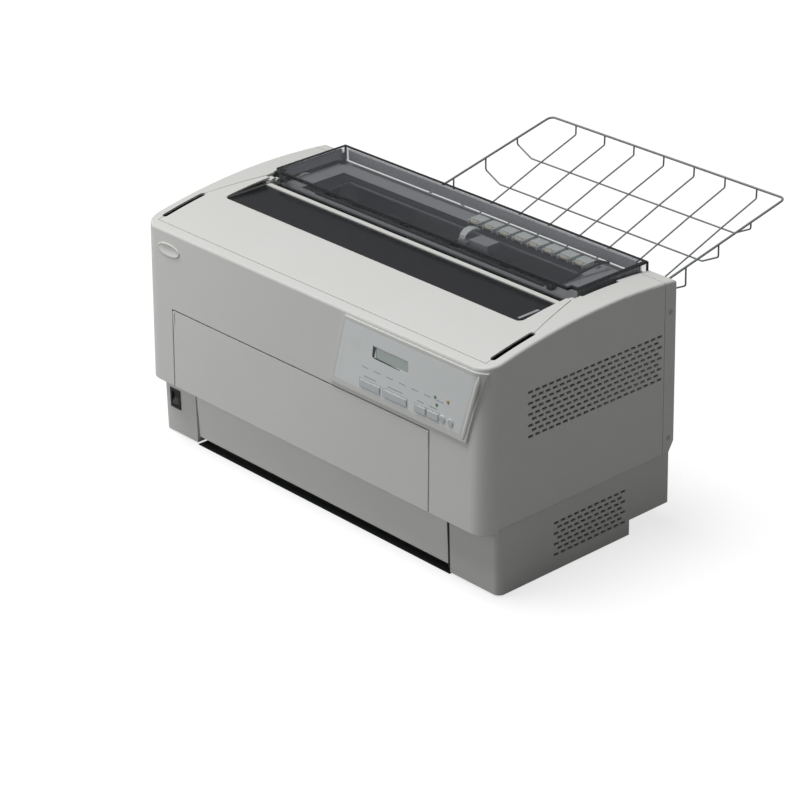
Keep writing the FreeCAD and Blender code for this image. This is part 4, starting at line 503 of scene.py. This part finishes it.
def markBars(form):
    # a frame round each key with a plain bar over it, and a row of dashes above
    reach = keyMarks["frameReach"]
    low, high = keyMarks["keyUp"]
    for left, right in keyMarks["keys"]:
        middle = (left + right) / 2
        third = (right - left) / 3
        addBar(form, (middle - third, middle + third), keyMarks["barUp"])
        addFrame(form, (left - reach, right + reach), (low - reach, high + reach), keyMarks["frameWidth"])
    for column in range(keyMarks["dashes"]):
        left = keyMarks["dashFirst"] + keyMarks["dashPitch"] * column
        addBar(form, (left, left + keyMarks["dashLength"]), keyMarks["dashUp"])


buttons = {"sides": (271, 286), "up": 240, "profile": [(0.3, 5.2), (-0.9, 5.2), (-1.4, 4.7), (-1.5, 2.5)]}


def panelButtons(form):
    up = buttons["up"]
    for side in buttons["sides"]:
        addTurned(form, (side, panelBack(up, 0), up), "back", buttons["profile"])


ridge = {
    "side": 307.5,
    "cutLow": 3,
    "cutHigh": 2,
    "steps": 12,
    "taper": 8,  # each end swells over one eighth of the length
    "endWidth": 0.4,
    "bulge": [(-4.2, -0.4), (-3, 0.9), (-1, 1.5), (1, 1.5), (3, 0.9), (4.2, -0.4)],  # side and out
}


def panelRidge(form):
    # the raised bead down the panel's right edge, following its slant
    bottom, top = panelFace["low"], panelFace["high"]
    low, high = bottom + ridge["cutLow"], top - ridge["cutHigh"]
    rings = []
    for step in range(ridge["steps"] + 1):
        share = step / ridge["steps"]
        up = low + (high - low) * share
        side = ridge["side"] + panelFace["slant"] * (up - bottom) / (top - bottom)
        swell = math.sin(math.pi * min(1, ridge["taper"] * share, ridge["taper"] * (1 - share)) / 2)
        width = ridge["endWidth"] + (1 - ridge["endWidth"]) * swell
        rings.append([(side + x * width, panelBack(up, out * swell), up) for x, out in ridge["bulge"]])
    addLoft(form, rings)


lamps = {
    "places": {
        "readyLamp": (lampGreen, 257, 266),
        "errorLamp": (lampAmber, 281, 267),
        "tearLamp": (lampGreen, 260, 256),
    },
    "profile": [(0.2, 2.3), (-0.4, 2.3), (-0.9, 1.7), (-1.1, 0.7)],
    "count": 20,
}


def panelLamp(form, side, up):
    addTurned(form, (side, panelBack(up, 0), up), "back", lamps["profile"], lamps["count"])


for name, (ink, outlines) in panelMarks.items():
    newPiece(name, ink, "machine", lambda form, shapes=outlines: [addMark(form, shape) for shape in shapes])
newPiece("captionBars", inkBlue, "machine", markBars)
newPiece("roundButtons", keyAbs, "machine", panelButtons)
newPiece("panelRidge", caseAbs, "machine", panelRidge)
for name, (lens, side, up) in lamps["places"].items():
    newPiece(name, lens, "machine", lambda form, x=side, z=up: panelLamp(form, x, z))
print("panel detailed")


# Front and top: a bare oval plate, a pale bar at the strip's end and the finger pockets
ovalPlate = {
    "side": -291.5,
    "up": 301.5,
    "halfWide": 24,
    "halfHigh": 9.5,
    "points": 56,
    "section": [(-0.3, 0), (1.0, 0), (1.5, -0.8), (1.5, -1.8), (1.1, -2.4)],  # how far out, how much wider
}


def blankPlate(form):
    rings = []
    for out, grow in ovalPlate["section"]:
        ring = []
        for index in range(ovalPlate["points"]):
            turn = 2 * math.pi * index / ovalPlate["points"]
            up = ovalPlate["up"] + (ovalPlate["halfHigh"] + grow) * math.sin(turn)
            side = ovalPlate["side"] + (ovalPlate["halfWide"] + grow) * math.cos(turn)
            ring.append((side, panelBack(up, out - panelFace["proud"]), up))
        rings.append(ring)
    addLoft(form, rings)


newPiece("blankBadge", caseAbs, "machine", blankPlate)

roof = {"crownUp": 356, "crownBack": 240, "radius": 983}


def roofUp(back):
    # height of the arched roof
    return roof["crownUp"] - roof["radius"] + math.sqrt(roof["radius"] ** 2 - (roof["crownBack"] - back) ** 2)


pocket = {
    "side": 331.7,
    "half": 7.4,
    "back": (28.5, 108.5),
    "floor": 306,
    "wall": 1.2,
    "under": 3.6,
    "steps": 10,
    "bevel": 0.2,
}


def fingerPocket(form, way):
    # an open trough under the slot, its brim following the roof
    first, last = pocket["back"]
    outer, inner = pocket["half"], pocket["half"] - pocket["wall"]
    low, floor = pocket["floor"], pocket["floor"] + pocket["wall"]
    sections = []
    for step in range(pocket["steps"] + 1):
        back = first + (last - first) * step / pocket["steps"]
        brim = roofUp(back) - pocket["under"]
        across = [(-outer, brim), (-outer, low), (outer, low), (outer, brim),
                  (inner, brim), (inner, floor), (-inner, floor), (-inner, brim)]
        sections.append([(way * (pocket["side"] + x), back, z) for x, z in across])
    addLoft(form, sections)
    for back in ((first - pocket["wall"], first), (last, last + pocket["wall"])):
        brim = roofUp(sum(back) / 2) - pocket["under"]
        side = sorted(way * (pocket["side"] + x) for x in (-outer, outer))
        addBlock(form, side, back, (low, brim), pocket["bevel"])


for way, name in ((-1, "leftFingerPocket"), (1, "rightFingerPocket")):
    newPiece(name, blackAbs, "machine", lambda form, hand=way: fingerPocket(form, hand))

stripRecess = {"half": 298, "front": 114, "radius": 9, "steps": 8, "floor": 344.9, "underRoof": 0.05}


def stripCorners(form):
    # the recess over the strip is rounded at its front corners
    half, front, radius = [stripRecess[key] for key in ("half", "front", "radius")]
    for way in (-1, 1):
        shape = [(way * half, front)]
        for step in range(stripRecess["steps"] + 1):
            turn = math.radians(90 * step / stripRecess["steps"])
            side = way * (half - radius + radius * math.sin(turn))
            shape.append((side, front + radius - radius * math.cos(turn)))
        addLoft(form, [[(side, back, stripRecess["floor"]) for side, back in shape],
                       [(side, back, roofUp(back) - stripRecess["underRoof"]) for side, back in shape]])


# a pale mid-grey bar along the dark strip's right end
stripEndBar = {"blocks": [((282.5, 287), (124, 160), (344.9, 346.4))], "bevel": 0.6}
newPiece("stripCorners", caseAbs, "top_cover", stripCorners)
newPiece("stripEndBar", deckAbs, "top_cover", lambda form: addBlocks(form, **stripEndBar))
print("top detailed")


# Under the exit lid: guide blocks with their rollers, a release lever and the arm of the bail
guideRow = {
    "first": 0,
    "pitch": 29,
    "wide": 23,
    "count": 8,
    "back": (308, 325),
    "up": (341, 347.5),
    "bevel": 1.4,
    "lugInset": 1.5,
    "lugWide": 2.5,
    "lugBack": (301, 310),
    "lugLower": 1,
    "lugBevel": 0.4,
}
roller = {
    "inset": 5,
    "ahead": 3.4,
    "above": 3.4,
    "radius": 3.1,
    "edge": 2.6,
    "bore": 2,
    "round": 0.6,
    "count": 18,
}


def guideLefts():
    return [guideRow["first"] + index * guideRow["pitch"] for index in range(guideRow["count"])]


def guideBlocks(form):
    low, high = guideRow["up"]
    lugUp = (low, high - guideRow["lugLower"])
    inset, wide = guideRow["lugInset"], guideRow["lugWide"]
    for left in guideLefts():
        right = left + guideRow["wide"]
        addBlock(form, (left, right), guideRow["back"], (low, high), guideRow["bevel"])
        for lug in (left + inset, right - inset - wide):
            addBlock(form, (lug, lug + wide), guideRow["lugBack"], lugUp, guideRow["lugBevel"])


def guideRollers(form):
    long = guideRow["wide"] - 2 * roller["inset"]
    profile = [(0, roller["bore"]), (0, roller["edge"]), (roller["round"], roller["radius"]),
               (long - roller["round"], roller["radius"]), (long, roller["edge"]), (long, roller["bore"])]
    back = guideRow["back"][0] - roller["ahead"]
    up = guideRow["up"][0] + roller["above"]
    for left in guideLefts():
        addTurned(form, (left + roller["inset"], back, up), "side", profile, roller["count"])


lever = {
    "path": [(44, 254, 342), (44, 251, 348), (43, 258, 353.5), (42, 270, 355), (41, 281, 351.5)],
    "halfWide": [5.5, 5.5, 6, 6.5, 6.5],
    "halfThick": 1.3,
    "lean": 0.3,
    "steps": 8,
    "block": ((52, 88), (256, 279), (336, 346)),
    "blockBevel": 1.6,
    "foot": ((36, 53), (250, 262), (338, 344)),
    "footBevel": 0.8,
}


def releaseLever(form):
    # a curved paddle that stands up out of its block
    thick = lever["halfThick"]
    rings = []
    for index, point in enumerate(smoothPath(lever["path"], lever["steps"])):
        wide = lever["halfWide"][index // lever["steps"]]
        rings.append([(point.x + x, point.y + lever["lean"] * z, point.z + z)
                      for x, z in ((-wide, -thick), (wide, -thick), (wide, thick), (-wide, thick))])
    addLoft(form, rings)


def leverBlock(form):
    addBlock(form, *lever["block"], lever["blockBevel"])
    addBlock(form, *lever["foot"], lever["footBevel"])


bail = {
    "path": [(240, 226, 344), (241, 262, 346), (243, 296, 350), (246, 316, 352),
             (246, 327, 349), (238, 330.5, 346), (232, 325, 347), (234, 314, 350)],
    "steps": 8,
    "radius": 1.8,
    "foot": ((236, 245), (221, 231), (340.9, 347)),
    "footBevel": 0.8,
}


def bailArm(form):
    addWire(form, smoothPath(bail["path"], bail["steps"]), bail["radius"])
    addBlock(form, *bail["foot"], bail["footBevel"])


guideTrim = {  # dark strips that frame the opening in the deck
    "blocks": [((-262, 228), (288.5, 305), (340.9, 341.5)),
               ((-262, -230.5), (226, 288.5), (340.9, 341.5)),
               ((-230.5, 228), (223, 231.5), (340.9, 341.5))],
    "bevel": 0.15,
}
foamStrip = {  # sealing strips along the inside of the lid's rear and side walls
    "blocks": [((-287, 287), (336.6, 340.1), (344.8, 361)),
               ((-299.2, -296.4), (217, 332.5), (346.2, 361)),
               ((296.4, 299.2), (217, 332.5), (346.2, 361))],
    "bevel": 0.6,
}
# dark rubber pads as painted shade at the bottom of the finger recesses
notchShadePads = {  # at the bottom of both finger recesses beside the lid
    "blocks": [((-309.4, -303), (217.5, 279), (341.2, 342.6)), ((303, 309.4), (217.5, 279), (341.2, 342.6))],
    "bevel": 0.3,
}
newPiece("guideTrim", blackAbs, "machine", lambda form: addBlocks(form, **guideTrim))
newPiece("foamStrip", foamSeal, "exit_lid", lambda form: addBlocks(form, **foamStrip))
newPiece("notchShadePads", rubberSheet, "machine", lambda form: addBlocks(form, **notchShadePads))
newPiece("guideBlocks", inkWhite, "machine", guideBlocks)
newPiece("leverBlock", deckAbs, "machine", leverBlock)
newPiece("guideRollers", nylonGear, "machine", guideRollers)
newPiece("releaseLever", inkWhite, "machine", releaseLever)
newPiece("bailArm", blackAbs, "machine", bailArm)

rim = {
    "outline": [(-290, 206.2), (290, 206.2), (290.4, 213.4), (301.8, 213.4),
                (301.8, 343.8), (-301.8, 343.8), (-301.8, 213.4), (-290.4, 213.4)],
    "middle": (0, 276),
    "section": [(-0.4, 360.2), (-0.4, 363.1), (0.2, 363.5), (4.6, 363.5),
                (5.1, 363.2), (5.1, 362.6), (0.1, 362.6), (0.1, 360.2)],  # how far in, up
    "posts": [((-302.4, -299.8), (341.8, 344.4), (346.4, 362.8)),
              ((299.8, 302.4), (341.8, 344.4), (346.4, 362.8))],
    "postBevel": 0.5,
}


def lidRim(form):
    # the lid's thicker border, a shallow raised band round its top, and a post at each rear corner
    middleSide, middleBack = rim["middle"]
    rings = []
    for inset, up in rim["section"]:
        rings.append([(side - math.copysign(inset, side - middleSide),
                       back - math.copysign(inset, back - middleBack), up) for side, back in rim["outline"]])
    addLoft(form, rings + rings[:1], capped=False)
    addBlocks(form, rim["posts"], rim["postBevel"])


newPiece("lidRim", darkAcrylic, "exit_lid", lidRim)

boss = {
    "place": (297, 209.4, 347),
    "profile": [(-3.6, 1.6), (-3.6, 3.4), (-3, 4), (3, 4), (3.6, 3.4), (3.6, 1.6), (1, 1.4)],
    "count": 24,
    "foot": ((293.6, 300.4), (206.4, 212.4), (341.2, 346)),
    "footBevel": 0.5,
}


def coverBosses(form):
    # the bosses at the lid's front corners, each with a blind hole
    side, back, up = boss["place"]
    footSide, footBack, footUp = boss["foot"]
    for way in (-1, 1):
        addTurned(form, (way * side, back, up), "side", boss["profile"], boss["count"])
        addBlock(form, sorted(way * edge for edge in footSide), footBack, footUp, boss["footBevel"])


newPiece("coverBosses", caseAbs, "machine", coverBosses)
print("works under the lid made")


# Round the lip: dark pieces as painted shade, a sill under the entry where the floor under the machine would
# show, and a rubber seal in the gap at the lip's right end
entryShadeSill = {"blocks": [((-271.8, 255.8), (24, 44), (0.4, 1.4))], "bevel": 0.3}
# a dark rubber block in the gap at the lip's right end: painted shade for the depth of the gap
lipGapShadeSeal = {"blocks": [((250.6, 255.4), (26.4, 34), (7.5, 95))], "bevel": 0.4}
newPiece("entryShadeSill", blackAbs, "machine", lambda form: addBlocks(form, **entryShadeSill))
newPiece("lipGapShadeSeal", rubberSheet, "machine", lambda form: addBlocks(form, **lipGapShadeSeal))
print("entry dressed")


# Inside the front: the inked ribbon between the cartridge's arms
ribbon = {
    "half": 247,
    "back": 196,
    "bow": 1.6,
    "twist": 0.5,
    "halfThick": 0.06,
    "up": (301.5, 311.5),
    "steps": 40,
}


def inkRibbon(form):
    low, high = ribbon["up"]
    thick = ribbon["halfThick"]
    rings = []
    for step in range(ribbon["steps"] + 1):
        share = step / ribbon["steps"]
        side = -ribbon["half"] + 2 * ribbon["half"] * share
        back = ribbon["back"] + ribbon["bow"] * math.sin(math.pi * share)
        tilt = ribbon["twist"] * math.sin(2 * math.pi * share)
        rings.append([(side, back - thick - tilt, low), (side, back + thick - tilt, low),
                      (side, back + thick + tilt, high), (side, back - thick + tilt, high)])
    addLoft(form, rings)


newPiece("inkRibbon", rubberSheet, "machine", inkRibbon)


# Back: a blank rating plate and the jack posts beside both interface sockets
ratingPlate = {"blocks": [((-120, -50), (339.7, 340.6), (44, 78))], "bevel": 0.3}
jackPost = {
    "sockets": (150, 240),
    "fromSocket": 34,
    "back": 339.6,
    "up": 56,
    "profile": [(0, 3.2), (1.2, 3.2), (1.2, 2.6), (4.6, 2.6), (5, 2.2), (5, 1.3), (3, 1.2)],
    "count": 6,
}


def jackPosts(form):
    for middle in jackPost["sockets"]:
        for side in (middle - jackPost["fromSocket"], middle + jackPost["fromSocket"]):
            centre = (side, jackPost["back"], jackPost["up"])
            addTurned(form, centre, "back", jackPost["profile"], jackPost["count"])


newPiece("ratingPlate", zincPlate, "machine", lambda form: addBlocks(form, **ratingPlate))
newPiece("jackPosts", groundSteel, "machine", jackPosts)
print("back detailed")


# Light and floor
lightSetup = {
    "sunFrom": (-0.22, -0.16, 0.90),
    "sunPower": 2.36,
    "sunSoftness": 30,
    "fillPlace": (-1.12, -1.4, 0.38),
    "fillAim": (0, -0.2, 0.2),
    "fillSize": 1.3,
    "fillPower": 8.4,
    "roomLight": 0.2,
}


def seenDirectly(owner):
    # 1 for camera rays and for rays that pass through clear plastic, otherwise 0
    rays = addNode(owner, "LightPath")
    either = addNode(owner, "Math", {"operation": "MAXIMUM"},
                     {0: rays.outputs["Is Camera Ray"], 1: rays.outputs["Is Transmission Ray"]})
    return either.outputs[0]


def lightTheStudio(setup):
    sun = bpy.data.objects.new("sun", bpy.data.lights.new("sun", "SUN"))
    bpy.context.scene.collection.objects.link(sun)
    sun.data.energy = setup["sunPower"]
    sun.data.angle = math.radians(setup["sunSoftness"])
    sun.rotation_euler = Vector(setup["sunFrom"]).to_track_quat("Z", "Y").to_euler()
    fill = bpy.data.objects.new("fill", bpy.data.lights.new("fill", "AREA"))
    bpy.context.scene.collection.objects.link(fill)
    fill.data.energy = setup["fillPower"]
    fill.data.size = setup["fillSize"]
    fill.location = setup["fillPlace"]
    fillAway = Vector(setup["fillPlace"]) - Vector(setup["fillAim"])
    fill.rotation_euler = fillAway.to_track_quat("Z", "Y").to_euler()
    # the room is white where the camera sees it, also through the lid, and dim to the light on the object
    world = bpy.data.worlds.new("studioRoom")
    bpy.context.scene.world = world
    world.use_nodes = True
    world.node_tree.nodes.clear()
    strength = addNode(world, "MapRange", {"To Min": setup["roomLight"], "To Max": 1},
                       {"Value": seenDirectly(world)})
    background = addNode(world, "Background", {"Color": (1, 1, 1, 1)}, {"Strength": strength.outputs[0]})
    addNode(world, "OutputWorld", links={"Surface": background.outputs[0]})


floorSetup = {"size": 14, "dim": 0.27, "shade": 0.32, "glow": 0.74}


def studioFloor(setup):
    # painted board: white to the camera with a faint shadow, and dimmer to the light that it throws back
    material = newMaterial("paintedStudioBoard")
    dim = addNode(material, "BsdfDiffuse", {"Color": (setup["dim"],) * 3 + (1,)})
    shade = addNode(material, "BsdfDiffuse", {"Color": (setup["shade"],) * 3 + (1,)})
    glow = addNode(material, "Emission", {"Color": (1, 1, 1, 1), "Strength": setup["glow"]})
    bright = addNode(material, "AddShader", links={0: shade.outputs[0], 1: glow.outputs[0]})
    shader = addNode(material, "MixShader",
                     links={0: seenDirectly(material), 1: dim.outputs[0], 2: bright.outputs[0]})
    finishMaterial(material, shader)
    mesh = bpy.data.meshes.new("floor")
    half = setup["size"] / 2
    corners = [(-half, -half, 0), (half, -half, 0), (half, half, 0), (-half, half, 0)]
    mesh.from_pydata(corners, [], [(0, 1, 2, 3)])
    mesh.materials.append(material)
    floor = bpy.data.objects.new("floor", mesh)
    bpy.context.scene.collection.objects.link(floor)


lightTheStudio(lightSetup)
studioFloor(floorSetup)
print("studio lit")

bpy.context.scene.view_settings.view_transform = "Standard"
